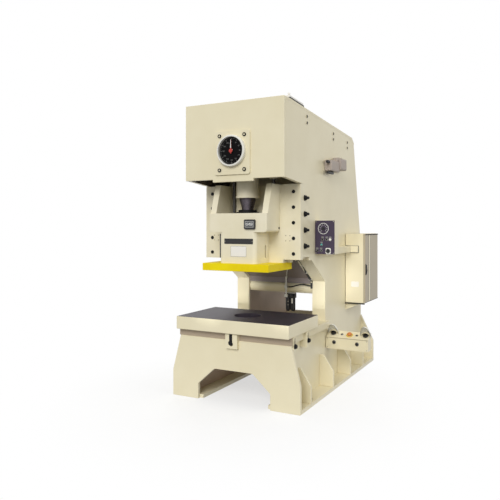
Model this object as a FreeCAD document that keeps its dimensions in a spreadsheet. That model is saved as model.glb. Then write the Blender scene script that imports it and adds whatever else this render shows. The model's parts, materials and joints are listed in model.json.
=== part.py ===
import FreeCAD, Part
import math
import os
import sys

import Sketcher

# A single-crank open-back stamping press with a C-frame.
# Millimetres. +X is to the right of a person who stands at the press, +Y goes
# back into the press, +Z is up. The origin is the centre of the bolster's hole
# at the bolster's top face, on the axis of the ram. The driving heights below
# are counted from the floor, and up() turns them into heights in this frame.

Vector = FreeCAD.Vector
doc = FreeCAD.newDocument("stamping_press")
sheet = doc.addObject("Spreadsheet::Sheet", "dims")

DRIVING_SIZES = {
    # frame: two C-shaped side plates with plates welded between them
    "frame_width": 1210,
    "side_wall": 45,
    "frame_rear": 2350,
    "rear_bend_drop": 1075,
    "crown_reach": 343,
    "crown_wall": 40,
    "crown_rise": 535,
    "crown_drop": 300,
    "lip_width": 500,
    "lip_drop": 28,
    "roof_flat": 136,
    "roof_rear": 1872,
    "roof_fall": 124,
    "rear_corner_back": 102,
    "rear_corner_drop": 80,
    "roof_wall": 30,
    "gib_front": 90,
    "throat_drop": 1150,
    "throat_flat": 430,
    "throat_column": 890,
    "throat_slope": 303,
    "lining_width": 165,
    "lining_wall": 40,
    # bed and feet
    "bed_height": 767,
    "bed_thick": 80,
    "bed_inset": 35,
    "base_reach": 338,
    "base_wall": 40,
    "base_top_width": 1352,
    "foot_width": 1560,
    "flare_height": 290,
    "arch_width": 884,
    "arch_side": 170,
    "arch_top": 355,
    "arch_top_width": 470,
    "arch_round": 60,
    "flange_wall": 40,
    "flange_inner": 400,
    "rear_plate_height": 640,
    "gusset_wall": 30,
    "gusset_height": 400,
    "gusset_top": 57,
    "gusset_toe": 220,
    "gusset_first": -50,
    "gusset_second": 650,
    "gusset_third": 1290,
    "gusset_fourth": 1830,
    "anchor_radius": 18,
    "anchor_inset": 60,
    "anchor_front": 120,
    "anchor_rear": 2180,
    # bolster
    "bolster_width": 1370,
    "bolster_depth": 820,
    "bolster_thick": 141,
    "bolster_hole": 150,
    "bed_hole": 170,
    "boss_width": 146,
    "boss_depth": 40,
    "boss_low": 603,
    "boss_slot": 26,
    "boss_hole": 22,
    "side_boss_width": 66,
    "side_boss_front": -262,
    "side_boss_rear": 100,
    # gibs
    "gib_width": 207,
    "gib_flange": 60,
    "gib_back": 330,
    "gib_length": 835,
    "gib_drop": 339,
    "groove_depth": 40,
    "groove_front": 190,
    "groove_back": 260,
    "guide_gap": 0.3,
    "gib_bolt": 18,
    "gib_bolt_head": 20,
    "gib_bolt_proud": 6,
    "gib_bolt_depth": 40,
    "pocket_sink": 12,
    "gib_bolt_low": 65,
    "gib_bolt_top": 86,
    "gib_bolt_x": 520,
    "pocket_low": 148,
    "pocket_top": 153,
    "pocket_y": 206,
    "pocket_radius": 30,
    # slide
    "ball_seat": 421,
    "slide_height": 868,
    "slide_front": 244,
    "nose_width": 450,
    "nose_height": 342,
    "nose_round": 45,
    "box_width": 712,
    "box_rise": 126,
    "box_round": 30,
    "cheek_wall": 70,
    "cheek_lean": 103,
    "pocket_rear": 170,
    "pocket_depth": 40,
    "well_radius": 118,
    "seat_gap": 0.1,
    "shank_radius": 32.5,
    "shank_depth": 90,
    "plate_width": 812,
    "plate_depth": 612,
    "plate_thick": 81,
    "knockout_width": 26,
    "knockout_rise": 56,
    "knockout_height": 140,
    "knockout_y": -20,
    # connection and adjusting screw
    "crank_height": 2715,
    "crank_throw": 80,
    "pin_radius": 105,
    "pin_half": 95,
    "rod_half": 90,
    "rod_gap": 0.5,
    "drift_gap": 20,
    "rod_wall": 55,
    "neck_radius": 127,
    "neck_rise": 299,
    "neck_drop": 155,
    "neck_head": 120,
    "neck_lip": 133,
    "neck_lip_height": 22,
    "screw_radius": 92,
    "screw_reach": 310,
    "screw_room": 16,
    "screw_gap": 0.4,
    "ball_radius": 112,
    "rod_length": 870,
    "cap_radius": 130,
    "cap_bore": 98,
    "cap_skirt_rise": 55,
    "cap_rise": 167,
    # crankshaft, gear and pinion
    "journal_radius": 95,
    "bush_wall": 18,
    "bush_gap": 0.05,
    "web_wall": 38,
    "web_radius": 115,
    "bearing_plate_y": 560,
    "bearing_plate_wall": 60,
    "bearing_plate_drop": 585,
    "gear_y": 760,
    "gear_width": 110,
    "gear_module": 13,
    "gear_teeth": 60,
    "gear_web": 46,
    "gear_hub": 150,
    "pinion_teeth": 12,
    "tooth_gap": 1.0,
    "pinion_shaft_radius": 48,
    "rear_bearing_y": 1500,
    "flywheel_y": 1640,
    "flywheel_width": 170,
    "flywheel_radius": 400,
    "flywheel_rim": 70,
    "flywheel_web": 50,
    "flywheel_hub": 110,
    "belt_count": 4,
    "belt_pitch": 30,
    "belt_height": 16,
    "belt_gap": 0.4,
    "clutch_radius": 190,
    "motor_drop": 687,
    "motor_radius": 155,
    "motor_front": 1180,
    "motor_back": 1600,
    "motor_shaft": 24,
    "cowl_length": 60,
    "cowl_step": 12,
    "nose_length": 25,
    "nose_step": 25,
    "rear_cap": 40,
    "fin_first": 30,
    "fin_pitch": 42,
    "fin_width": 14,
    "fin_height": 10,
    "motor_foot_half": 150,
    "motor_foot_inset": 30,
    "motor_foot_wall": 30,
    "motor_foot_rise": 65,
    "motor_foot_rear": 40,
    "terminal_x": 60,
    "terminal_width": 110,
    "terminal_length": 110,
    "terminal_height": 130,
    "terminal_inset": 90,
    "rail_wall": 30,
    "rail_end": 20,
    "pulley_radius": 110,
    # counterbalance
    "balance_x": 255,
    "balance_y": 145,
    "balance_rod": 17,
    "balance_bore": 44,
    "balance_wall": 7,
    "balance_clear": 68,
    "balance_length": 420,
    "balance_piston": 40,
    # crank angle dial
    "dial_cover_width": 432,
    "dial_cover_height": 470,
    "dial_cover_wall": 16,
    "dial_cover_round": 24,
    "dial_radius": 168,
    "dial_face_radius": 150,
    "dial_depth": 60,
    "dial_bolt_x": 152,
    "dial_bolt_z": 184,
    "dial_bolt": 13,
    "pointer_length": 118,
    "pointer_width": 12,
    # things on the frame
    "roof_cover_front": -190,
    "roof_cover_back": 190,
    "roof_cover_width": 420,
    "roof_cover_high": 34,
    "roof_cover_right": 560,
    "valve_y": 1120,
    "valve_drop": 25,
    "valve_length": 210,
    "valve_reach": 110,
    "valve_height": 150,
    "solenoid_radius": 27,
    "solenoid_length": 60,
    "silencer_radius": 30,
    "silencer_length": 70,
    "tank_y": 968,
    "tank_z": 1150,
    "tank_radius": 76,
    "frl_x": 115,
    "frl_y": 930,
    "frl_top": 1068,
    "bowl_radius": 29,
    "pipe_x": 80,
    "pipe_y": 872,
    "pipe_tee": 1150,
    "pipe_high": 1800,
    "pipe_radius": 10,
    "tee_half": 17,
    "hose_radius": 8,
    "hose_end": 1176,
    "cable_radius": 11,
    "cable_drop": 4,
    "cable_tail": 112,
    # electric cabinet
    "cabinet_gap": 7,
    "cabinet_width": 238,
    "cabinet_front": 1608,
    "cabinet_back": 2211,
    "cabinet_low": 905,
    "cabinet_high": 1812,
    "cabinet_wall": 4,
    "door_wall": 25,
    "door_sheet": 3,
    "door_gap": 1,
    "bracket_wall": 12,
    "bracket_height": 100,
    # cable duct
    "duct_width": 90,
    "duct_low": 1568,
    "duct_high": 1652,
    "duct_flange": 180,
    "duct_gap": 5,
    "duct_flange_wall": 30,
    # operator's panel
    "panel_front": 512,
    "panel_width": 234,
    "panel_low": 1590,
    "panel_high": 1975,
    "panel_depth": 130,
    "panel_face_wall": 6,
    "button_radius": 11,
    "button_proud": 9,
    "gauge_radius": 64,
    # two-hand console
    "console_left": 612,
    "console_width": 516,
    "console_front": 860,
    "console_depth": 140,
    "console_low": 440,
    "console_edge": 578,
    "console_high": 640,
    "palm_radius": 30,
    "guard_radius": 56,
    "estop_radius": 27,
    # rear of the drive
    "guard_wall": 8,
}


def fill_sheet():
    """Write each driving size into its own cell, with its name as the alias."""
    for row, (name, value) in enumerate(DRIVING_SIZES.items(), start=1):
        sheet.set(f"A{row}", name)
        sheet.set(f"B{row}", str(value))
        sheet.setAlias(f"B{row}", name)
    doc.recompute()


class Size:
    """A length with its present value and the formula that binds it to the sheet."""

    def __init__(self, value, formula):
        self.value = float(value)
        self.formula = formula

    def join(self, other, sign, result):
        other = other if isinstance(other, Size) else Size(other, repr(other))
        return Size(result(self.value, other.value), f"({self.formula} {sign} {other.formula})")

    def __add__(self, other):
        return self.join(other, "+", lambda a, b: a + b)

    def __sub__(self, other):
        return self.join(other, "-", lambda a, b: a - b)

    def __mul__(self, other):
        return self.join(other, "*", lambda a, b: a * b)

    def __truediv__(self, other):
        return self.join(other, "/", lambda a, b: a / b)

    def __radd__(self, other):
        return Size(other, repr(other)) + self

    def __rsub__(self, other):
        return Size(other, repr(other)) - self

    def __neg__(self):
        return Size(0, "0") - self


class Names:
    """d.name is the Size held by the sheet's cell of that name."""

    def __getattr__(self, name):
        return Size(DRIVING_SIZES[name], f"dims.{name}")


d = Names()
ZERO = Size(0, "0")


def size(value):
    return value if isinstance(value, Size) else Size(value, repr(value))


def bind(item, prop, value):
    item.setExpression(prop, size(value).formula)


def up(height):
    """A height above the floor, in the frame whose origin is on the bolster."""
    return height - (d.bed_height + d.bolster_thick)


FLOOR = up(ZERO)
nodes = {}


def keep(name, item):
    """Name a finished sub-part."""
    item.Label = name
    nodes[name] = item
    return item


def place(item, x=0, y=0, z=0):
    for axis, value in zip("xyz", (x, y, z)):
        bind(item, f"Placement.Base.{axis}", value)
    return item


def block(x, y, z):
    """A box between the low and high ends given on each axis."""
    item = doc.addObject("Part::Box", "block")
    for prop, (low, high) in zip(("Length", "Width", "Height"), (x, y, z)):
        bind(item, prop, size(high) - low)
    return place(item, x[0], y[0], z[0])


TURN = {
    "X": FreeCAD.Rotation(Vector(0, 1, 0), 90),
    "Y": FreeCAD.Rotation(Vector(1, 0, 0), -90),
    "Z": FreeCAD.Rotation(),
}


def rod(axis, radius, start, end, centre):
    """A cylinder along X, Y or Z; centre holds the two other coordinates in order."""
    item = doc.addObject("Part::Cylinder", "rod")
    bind(item, "Radius", radius)
    bind(item, "Height", size(end) - start)
    item.Placement = FreeCAD.Placement(Vector(), TURN[axis])
    spot = list(centre)
    spot.insert("XYZ".index(axis), start)
    return place(item, *spot)


def taper(axis, start_radius, end_radius, start, end, centre):
    """A cone along X, Y or Z."""
    item = doc.addObject("Part::Cone", "taper")
    bind(item, "Radius1", start_radius)
    bind(item, "Radius2", end_radius)
    bind(item, "Height", size(end) - start)
    item.Placement = FreeCAD.Placement(Vector(), TURN[axis])
    spot = list(centre)
    spot.insert("XYZ".index(axis), start)
    return place(item, *spot)


def ball(radius, x, y, z):
    item = doc.addObject("Part::Sphere", "ball")
    bind(item, "Radius", radius)
    return place(item, x, y, z)


def cut(base, *tools):
    """base without each of the tools."""
    for tool in tools:
        item = doc.addObject("Part::Cut", "cut")
        item.Base = base
        item.Tool = tool
        base = item
    return base


def fuse(*pieces):
    item = doc.addObject("Part::MultiFuse", "fuse")
    item.Shapes = list(pieces)
    item.Refine = True
    return item


def group(*pieces):
    """Separate solids that share one node."""
    item = doc.addObject("Part::Compound", "group")
    item.Links = list(pieces)
    return item


# For each sketch plane: which way its normal points, so that a pad runs from
# the low end to the high end of the third axis.
PLANES = {"XY": 1, "XZ": -1, "YZ": 1}


def origin_plane(body, plane):
    role = f"{plane}_Plane"
    return next(f for f in body.Origin.OriginFeatures if f.Role == role)


def outline_sketch(body, plane, outline):
    """A closed sketch through the outline's points, each tied to the sheet."""
    sketch = body.newObject("Sketcher::SketchObject", "outline")
    sketch.AttachmentSupport = [(origin_plane(body, plane), "")]
    sketch.MapMode = "FlatFace"
    points = [(size(u), size(v)) for u, v in outline]
    spots = [Vector(u.value, v.value, 0) for u, v in points]
    count = len(points)
    for i in range(count):
        sketch.addGeometry(Part.LineSegment(spots[i], spots[(i + 1) % count]), False)
    for i in range(count):
        sketch.addConstraint(Sketcher.Constraint("Coincident", i, 2, (i + 1) % count, 1))
    for i, pair in enumerate(points):
        for kind, value in zip(("DistanceX", "DistanceY"), pair):
            number = sketch.addConstraint(Sketcher.Constraint(kind, -1, 1, i, 1, value.value))
            sketch.setExpression(f"Constraints[{number}]", value.formula)
    return sketch


def plate(plane, outline, low, high, rounds=()):
    """A pad of the outline from low to high across its plane. rounds lists
    (radius, corners), where corners are points of the outline."""
    body = doc.addObject("PartDesign::Body", "plate")
    sketch = outline_sketch(body, plane, outline)
    start = size(low) if PLANES[plane] > 0 else -size(high)
    bind(sketch, "AttachmentOffset.Base.z", start)
    pad = body.newObject("PartDesign::Pad", "pad")
    pad.Profile = sketch
    bind(pad, "Length", size(high) - low)
    sketch.Visibility = False
    for radius, corners in rounds:
        doc.recompute()
        base = body.Tip
        fillet = body.newObject("PartDesign::Fillet", "fillet")
        fillet.Base = (base, corner_edges(base.Shape, plane, corners))
        bind(fillet, "Radius", radius)
    return body


def corner_edges(shape, plane, corners):
    """The edges that stand square to the sketch plane on the given corners."""
    axes = ["XYZ".index(letter) for letter in plane]
    found = []
    for number, edge in enumerate(shape.Edges, start=1):
        ends = [vertex.Point for vertex in edge.Vertexes]
        for u, v in corners:
            spot = (size(u).value, size(v).value)
            near = [abs(end[a] - s) < 0.01 for end in ends for a, s in zip(axes, spot)]
            if len(ends) == 2 and all(near):
                found.append(f"Edge{number}")
    if len(found) != len(corners):
        raise ValueError(f"{len(found)} edges found for {len(corners)} corners")
    return found


def turned(axis, profile, x=0, y=0, z=0):
    """A body turned about X, Y or Z through the point (x, y, z). The profile's
    points are (distance from the axis, distance along it)."""
    body = doc.addObject("PartDesign::Body", "turned")
    sketch = outline_sketch(body, "XZ", profile)
    turn = body.newObject("PartDesign::Revolution", "turn")
    turn.Profile = sketch
    turn.ReferenceAxis = (sketch, ["V_Axis"])
    turn.Angle = 360
    sketch.Visibility = False
    body.Placement = FreeCAD.Placement(Vector(), TURN[axis])
    return place(body, x, y, z)


# ------------------------------------------------------------------ the frame

HALF = d.frame_width / 2
INNER = HALF - d.side_wall
FRONT = -d.crown_reach
BED_TOP = up(d.bed_height)
BASE_TOP = BED_TOP - d.bed_thick
CORNER_Y = d.roof_rear + d.rear_corner_back
# the upper body hangs on the crank's axis
CRANK_Z = up(d.crank_height)
CROWN_TOP = CRANK_Z + d.crown_rise
CROWN_LOW = CRANK_Z - d.crown_drop
ROOF_REAR = CROWN_TOP - d.roof_fall
REAR_BEND = CRANK_Z - d.rear_bend_drop
THROAT_TOP = CRANK_Z - d.throat_drop
THROAT_FOOT = THROAT_TOP - d.throat_slope
GIB_HIGH = CRANK_Z - d.gib_drop
GIB_LOW = GIB_HIGH - d.gib_length


def gib_bolt_z(i):
    """Height of the gib's screw number i, of five."""
    pitch = (d.gib_length - d.gib_bolt_low - d.gib_bolt_top) / 4
    return GIB_LOW + d.gib_bolt_low + pitch * i


def pocket_z(i):
    """Height of the side pocket number i, of four."""
    pitch = (d.gib_length - d.pocket_low - d.pocket_top) / 3
    return GIB_LOW + d.pocket_low + pitch * i


def side_plate(name, side):
    """A C-shaped plate: crown, throat and column in one profile."""
    low, high = (INNER * side, HALF * side)[::side]
    start = FRONT + d.crown_wall
    flat_end = FRONT + d.roof_flat
    gib_z = GIB_HIGH
    outline = [
        (start, CROWN_LOW),
        (d.gib_front + d.gib_flange, gib_z),
        (d.gib_front + d.gib_flange, THROAT_TOP),
        (d.throat_flat, THROAT_TOP),
        (d.throat_column, THROAT_FOOT),
        (d.throat_column, BASE_TOP),
        (-d.base_reach + d.base_wall, BASE_TOP),
        (-d.base_reach + d.base_wall, FLOOR + d.flange_wall),
        (d.frame_rear - d.base_wall, FLOOR + d.flange_wall),
        (d.frame_rear - d.base_wall, REAR_BEND),
        (CORNER_Y, ROOF_REAR - d.rear_corner_drop),
        (d.roof_rear, ROOF_REAR - d.roof_wall),
        (flat_end, CROWN_TOP - d.roof_wall),
        (start, CROWN_TOP - d.roof_wall),
    ]
    body = plate("YZ", outline, low, high)
    pockets = []
    for i in range(4):
        pockets.append(rod("X", d.pocket_radius, size(low) - 5, size(high) + 5,
                           (d.pocket_y, pocket_z(i))))
    keep(name, fuse(cut(body, *pockets), *side_plugs(side)))


def side_plugs(side):
    """Three pairs of plugs high on a side plate."""
    ends = (HALF * side, (HALF + 6) * side)[::side]
    plugs = []
    for y, drop in ((265, 115), (1137, 180), (1686, 220)):
        for step in (0, 72):
            plugs.append(rod("X", 12, *ends, (y, CROWN_TOP - drop - step)))
    return plugs


def throat_lining(name, low, high, cabled):
    """A plate bent along the throat: underside, slope and column front."""
    wall = d.lining_wall
    outline = [
        (d.gib_back + 10, THROAT_TOP),
        (d.gib_back + 10, THROAT_TOP - wall),
        (d.throat_flat - wall / 2, THROAT_TOP - wall),
        (d.throat_column - wall, THROAT_FOOT - wall / 2),
        (d.throat_column - wall, BED_TOP),
        (d.throat_column, BED_TOP),
        (d.throat_column, THROAT_FOOT),
        (d.throat_flat, THROAT_TOP),
    ]
    lining = plate("YZ", outline, low, high)
    keep(name, fuse(lining, throat_cable(low)) if cabled else lining)


def throat_cable(edge):
    """A cable clipped along the lining's inner edge, down to the column."""
    x = edge - d.cable_radius + 3
    drop = d.cable_drop
    under = THROAT_TOP - d.lining_wall - drop
    column = d.throat_column - d.lining_wall - drop
    points = [(x, d.gib_back + 30, under), (x, d.throat_flat - d.lining_wall / 2, under),
              (x, column, THROAT_FOOT - d.lining_wall / 2 - drop),
              (x, column, THROAT_FOOT - d.cable_tail)]
    item = doc.addObject("Part::Feature", "throat_cable")
    item.Shape = tube(points, d.cable_radius.value)
    return item


def crown_front():
    half_lip = d.lip_width / 2
    low = CROWN_LOW
    outline = [
        (-HALF, low),
        (-half_lip, low),
        (-half_lip, low - d.lip_drop),
        (half_lip, low - d.lip_drop),
        (half_lip, low),
        (HALF, low),
        (HALF, CROWN_TOP),
        (-HALF, CROWN_TOP),
    ]
    body = plate("XZ", outline, FRONT, FRONT + d.crown_wall)
    bore = rod("Y", d.journal_radius + d.bush_wall, FRONT - 5, FRONT + d.crown_wall + 5,
               (0, CRANK_Z))
    keep("crown_front_plate", cut(body, bore))


def crown_roof():
    """The roof plate: flat over the crown, then falling to the rounded rear
    corner and down the back."""
    start = FRONT + d.crown_wall
    wall = d.roof_wall
    flat_end = FRONT + d.roof_flat
    outline = [
        (start, CROWN_TOP),
        (start, CROWN_TOP - wall),
        (flat_end, CROWN_TOP - wall),
        (d.roof_rear, ROOF_REAR - wall),
        (CORNER_Y, ROOF_REAR - d.rear_corner_drop),
        (CORNER_Y + wall, ROOF_REAR - d.rear_corner_drop),
        (d.roof_rear + wall, ROOF_REAR),
        (flat_end, CROWN_TOP),
    ]
    keep("crown_roof", plate("YZ", outline, -HALF, HALF))


def bearing_plates():
    """Two cross plates between the side plates that carry the rear bearings."""
    for name, y, pinion_only in (("crank_bearing_plate", d.bearing_plate_y, False),
                                 ("pinion_bearing_plate", d.rear_bearing_y, True)):
        low = CRANK_Z - d.bearing_plate_drop
        high = CROWN_TOP - d.roof_fall - d.roof_wall
        high = high if pinion_only else CRANK_Z + 330
        wall = block((-INNER, INNER), (y, y + d.bearing_plate_wall), (low, high))
        span = (y - 5, y + d.bearing_plate_wall + 5)
        shaft = d.pinion_shaft_radius + d.bush_wall
        tools = [rod("Y", shaft, *span, (0, PINION_Z))]
        if not pinion_only:
            tools.append(rod("Y", d.journal_radius + d.bush_wall, *span, (0, CRANK_Z)))
        keep(name, cut(wall, *tools))


GEAR_RADIUS = d.gear_module * d.gear_teeth / 2
PINION_RADIUS = d.gear_module * d.pinion_teeth / 2
PINION_Z = CRANK_Z - GEAR_RADIUS - PINION_RADIUS


def bed_front():
    """The front plate of the bed: flared feet either side of a chamfered arch."""
    toe = d.foot_width / 2
    shoulder = d.base_top_width / 2
    arch = d.arch_width / 2
    arch_top = d.arch_top_width / 2
    outline = [
        (-toe, FLOOR),
        (-arch, FLOOR),
        (-arch, FLOOR + d.arch_side),
        (-arch_top, FLOOR + d.arch_top),
        (arch_top, FLOOR + d.arch_top),
        (arch, FLOOR + d.arch_side),
        (arch, FLOOR),
        (toe, FLOOR),
        (toe, FLOOR + d.flare_height),
        (shoulder, BASE_TOP),
        (-shoulder, BASE_TOP),
        (-toe, FLOOR + d.flare_height),
    ]
    rounds = [(d.arch_round, [outline[3], outline[4]])]
    back = -d.base_reach + d.base_wall
    keep("bed_front_plate", plate("XZ", outline, -d.base_reach, back, rounds))


def bed_plate():
    """The thick plate under the bolster, with the bosses of its clamp bolts."""
    half = d.bolster_width / 2 - d.bed_inset
    front = -d.base_reach + 8
    slab = block((-half, half), (front, d.throat_column), (BASE_TOP, BED_TOP))
    bosses = []
    slots = []
    low = BASE_TOP
    high = BED_TOP
    half_boss = d.boss_width / 2
    half_slot = d.boss_slot / 2
    face = -d.base_reach - d.boss_depth
    boss_low = up(d.boss_low)
    bosses.append(block((-half_boss, half_boss), (face, front), (low, high)))
    bosses.append(block((-half_boss, half_boss), (face, -d.base_reach), (boss_low, low)))
    key = boss_low + d.boss_slot + d.boss_hole
    slots.append(block((-half_slot, half_slot), (face - 5, face + 30), (key, high - 10)))
    slots.append(rod("Y", d.boss_hole, face - 5, face + 30, (0, key)))
    middle = (low + high) / 2
    half_boss = d.side_boss_width / 2
    for side in (-1, 1):
        outer = (half + d.boss_depth) * side
        for y in (d.side_boss_front, d.side_boss_rear):
            bosses.append(block((half * side, outer)[::side], (y - half_boss, y + half_boss),
                                (low, high)))
            x = (outer - 30 * side, outer + 5 * side)[::side]
            slots.append(rod("X", d.boss_hole, *x, (y, middle - 12)))
            slots.append(block(x, (y - half_slot, y + half_slot), (middle - 12, high - 8)))
    hole = rod("Z", d.bed_hole, low - 5, high + 5, (0, 0))
    keep("bed_plate", cut(fuse(slab, *bosses), *slots, hole))


def bolster():
    half = d.bolster_width / 2
    depth = d.bolster_depth / 2
    slab = block((-half, half), (-depth, depth), (BED_TOP, ZERO))
    hole = rod("Z", d.bolster_hole, BED_TOP - 5, 5, (0, 0))
    keep("bolster", cut(slab, hole))


def rear_plate():
    """The rear cross plate of the bed, flared like the front one."""
    toe = d.foot_width / 2
    outline = [
        (-toe, FLOOR),
        (toe, FLOOR),
        (toe, FLOOR + d.flare_height),
        (HALF, FLOOR + d.rear_plate_height),
        (-HALF, FLOOR + d.rear_plate_height),
        (-toe, FLOOR + d.flare_height),
    ]
    keep("bed_rear_plate", plate("XZ", outline, d.frame_rear - d.base_wall, d.frame_rear))


def foot(name, side):
    """A floor plate with its anchor holes, and the gussets that stand on it."""
    toe = d.foot_width / 2
    edges = (d.flange_inner * side, toe * side)[::side]
    ends = (-d.base_reach + d.base_wall, d.frame_rear - d.base_wall)
    base = block(edges, ends, (FLOOR, FLOOR + d.flange_wall))
    holes = []
    for y in (d.anchor_front, d.anchor_rear):
        holes.append(rod("Z", d.anchor_radius, FLOOR - 5, FLOOR + d.flange_wall + 5,
                         ((toe - d.anchor_inset) * side, y)))
    foot_plate = cut(base, *holes)
    keep(name, foot_plate)
    gussets = []
    top = FLOOR + d.flange_wall
    outline = [
        (HALF * side, top),
        (toe * side, top),
        (toe * side, FLOOR + d.gusset_toe),
        ((HALF + d.gusset_top) * side, FLOOR + d.gusset_height),
        (HALF * side, FLOOR + d.gusset_height),
    ]
    for y in (d.gusset_first, d.gusset_second, d.gusset_third, d.gusset_fourth):
        gussets.append(plate("XZ", outline, y, y + d.gusset_wall))
    return gussets


def gib(name, side):
    """An L-shaped guide block with a groove for the slide's tongue."""
    inner = HALF - d.gib_width
    low, high = GIB_LOW, GIB_HIGH
    leg = INNER
    outline = [
        (inner * side, d.gib_front),
        (HALF * side, d.gib_front),
        (HALF * side, d.gib_front + d.gib_flange),
        (leg * side, d.gib_front + d.gib_flange),
        (leg * side, d.gib_back),
        (inner * side, d.gib_back),
        (inner * side, d.groove_back),
        ((inner + d.groove_depth) * side, d.groove_back),
        ((inner + d.groove_depth) * side, d.groove_front),
        (inner * side, d.groove_front),
    ]
    body = plate("XY", outline, low, high)
    holes = []
    for i in range(5):
        holes.append(rod("Y", d.gib_bolt + d.guide_gap, d.gib_front - 5,
                         d.gib_front + d.gib_bolt_depth,
                         (d.gib_bolt_x * side, gib_bolt_z(i))))
    keep(name, cut(body, *holes))


def gib_screws():
    """Socket screws in the gibs' fronts and adjusting screws in the pockets."""
    screws = []
    for side in (-1, 1):
        for i in range(5):
            z = gib_bolt_z(i)
            spot = (d.gib_bolt_x * side, z)
            screws.append(rod("Y", d.gib_bolt, d.gib_front - d.gib_bolt_proud,
                              d.gib_front + d.gib_bolt_depth, spot))
        for i in range(4):
            z = pocket_z(i)
            ends = (INNER * side, (HALF - d.pocket_sink) * side)[::side]
            screws.append(rod("X", d.gib_bolt_head, *ends, (d.pocket_y, z)))
    keep("gib_screws", group(*screws))


# ------------------------------------------------- slide, connection and screw

# the pin at its top carries the ball, and the ball carries the slide
PIN_Z = CRANK_Z + d.crank_throw
BALL_Z = PIN_Z - d.rod_length
SLIDE_LOW = BALL_Z - d.ball_seat
PLATE_LOW = SLIDE_LOW - d.plate_thick
NOSE_TOP = SLIDE_LOW + d.nose_height
BOX_TOP = BALL_Z + d.box_rise
SLIDE_TOP = SLIDE_LOW + d.slide_height
POCKET_FLOOR = BOX_TOP - d.pocket_depth
BALANCE_LOW = SLIDE_TOP + d.balance_clear
NECK_LOW = BALL_Z + d.neck_rise
NECK_HIGH = CRANK_Z - d.neck_drop


def slide():
    """The ram: a nose, a box with two raised cheeks, and a guided back."""
    inner = HALF - d.gib_width - d.guide_gap
    back = d.gib_back
    nose = d.nose_width / 2
    half = d.box_width / 2
    rear_front = d.gib_front
    # the guided back, with a tongue each side, has one plan all the way up
    tongue = inner + d.groove_depth
    plan = []
    for side in (-1, 1):
        edge = [
            (inner * side, rear_front),
            (inner * side, d.groove_front + d.guide_gap),
            (tongue * side, d.groove_front + d.guide_gap),
            (tongue * side, d.groove_back - d.guide_gap),
            (inner * side, d.groove_back - d.guide_gap),
            (inner * side, back),
        ]
        plan += edge if side < 0 else edge[::-1]
    guide = plate("XY", plan, SLIDE_LOW, SLIDE_TOP)
    front = -d.slide_front
    corners = [(nose, front), (-nose, front)]
    lower = plate("XY", [(-nose, front), (nose, front), (nose, rear_front), (-nose, rear_front)],
                  SLIDE_LOW, NOSE_TOP, [(d.nose_round, corners)])
    corners = [(half, NOSE_TOP), (-half, NOSE_TOP)]
    box = plate("XZ", [(-half, NOSE_TOP), (half, NOSE_TOP),
                       (half, BOX_TOP), (-half, BOX_TOP)],
                front, rear_front, [(d.box_round, corners)])
    # each cheek rises from the box with a front edge that leans back
    cheek_front = front + 32
    lean = [(cheek_front, BOX_TOP), (rear_front, BOX_TOP),
            (rear_front, SLIDE_TOP), (cheek_front + d.cheek_lean, SLIDE_TOP)]
    left = plate("YZ", lean, -half, -half + d.cheek_wall)
    right = plate("YZ", lean, half - d.cheek_wall, half)
    # the pocket between the cheeks, and the well of the adjusting screw
    pocket = block((-half + d.cheek_wall, half - d.cheek_wall),
                   (front + d.cheek_wall, d.pocket_rear),
                   (POCKET_FLOOR, SLIDE_TOP + 5))
    well = rod("Z", d.well_radius, BALL_Z, SLIDE_TOP + 5, (0, 0))
    seat = ball(d.ball_radius + d.seat_gap, 0, 0, BALL_Z)
    shank = rod("Z", d.shank_radius, SLIDE_LOW - 5, SLIDE_LOW + d.shank_depth, (0, 0))
    knockout = block((-nose - 5, nose + 5), (d.knockout_y, d.knockout_y + d.knockout_width),
                     (SLIDE_LOW + d.knockout_rise,
                      SLIDE_LOW + d.knockout_rise + d.knockout_height))
    body = fuse(guide, lower, box, left, right)
    keep("slide", cut(body, pocket, well, seat, shank, knockout))


def slide_plate():
    half = d.plate_width / 2
    depth = d.plate_depth / 2
    slab = block((-half, half), (-depth, depth), (PLATE_LOW, SLIDE_LOW))
    hole = rod("Z", d.shank_radius, PLATE_LOW - 5, SLIDE_LOW + 5, (0, 0))
    keep("slide_plate", cut(slab, hole))


def ball_cap():
    """The ring that holds the ball down in the slide."""
    low, high = BALL_Z + d.cap_skirt_rise, BALL_Z + d.cap_rise
    skirt = d.well_radius - d.rod_gap
    profile = [(d.cap_bore, low), (skirt, low), (skirt, POCKET_FLOOR),
               (d.cap_radius, POCKET_FLOOR), (d.cap_radius, high), (d.cap_bore, high)]
    keep("ball_cap", turned("Z", profile))


def connecting_rod():
    """The upper rod: a big end round the crank pin, with room for the pin's
    sideways swing, and a threaded neck for the adjusting screw."""
    reach = d.pin_radius + d.rod_gap
    side = reach + d.crank_throw
    wall = d.rod_wall
    high = PIN_Z + reach + d.drift_gap
    low = PIN_Z - reach - d.drift_gap
    outer = block((-reach - wall, side + wall), (-d.rod_half, d.rod_half), (low - wall, high + wall))
    window = block((-reach, side), (-d.rod_half - 5, d.rod_half + 5), (low, high))
    neck = rod("Z", d.neck_radius, NECK_LOW, NECK_HIGH, (0, 0))
    lip = rod("Z", d.neck_lip, NECK_LOW, NECK_LOW + d.neck_lip_height, (0, 0))
    head = block((-d.neck_head, d.neck_head), (-d.rod_half, d.rod_half),
                 (NECK_HIGH, low - wall))
    bore = rod("Z", d.screw_radius + d.screw_gap, NECK_LOW - 5,
               NECK_LOW + d.screw_reach + d.screw_room, (0, 0))
    keep("connecting_rod", cut(fuse(outer, head, neck, lip), window, bore))


def adjusting_screw():
    """The screw and the ball at its foot."""
    top = NECK_LOW + d.screw_reach
    low = BALL_Z
    shank = rod("Z", d.screw_radius, low, top, (0, 0))
    round_end = ball(d.ball_radius, 0, 0, BALL_Z)
    keep("adjusting_screw", fuse(shank, round_end))


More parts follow.
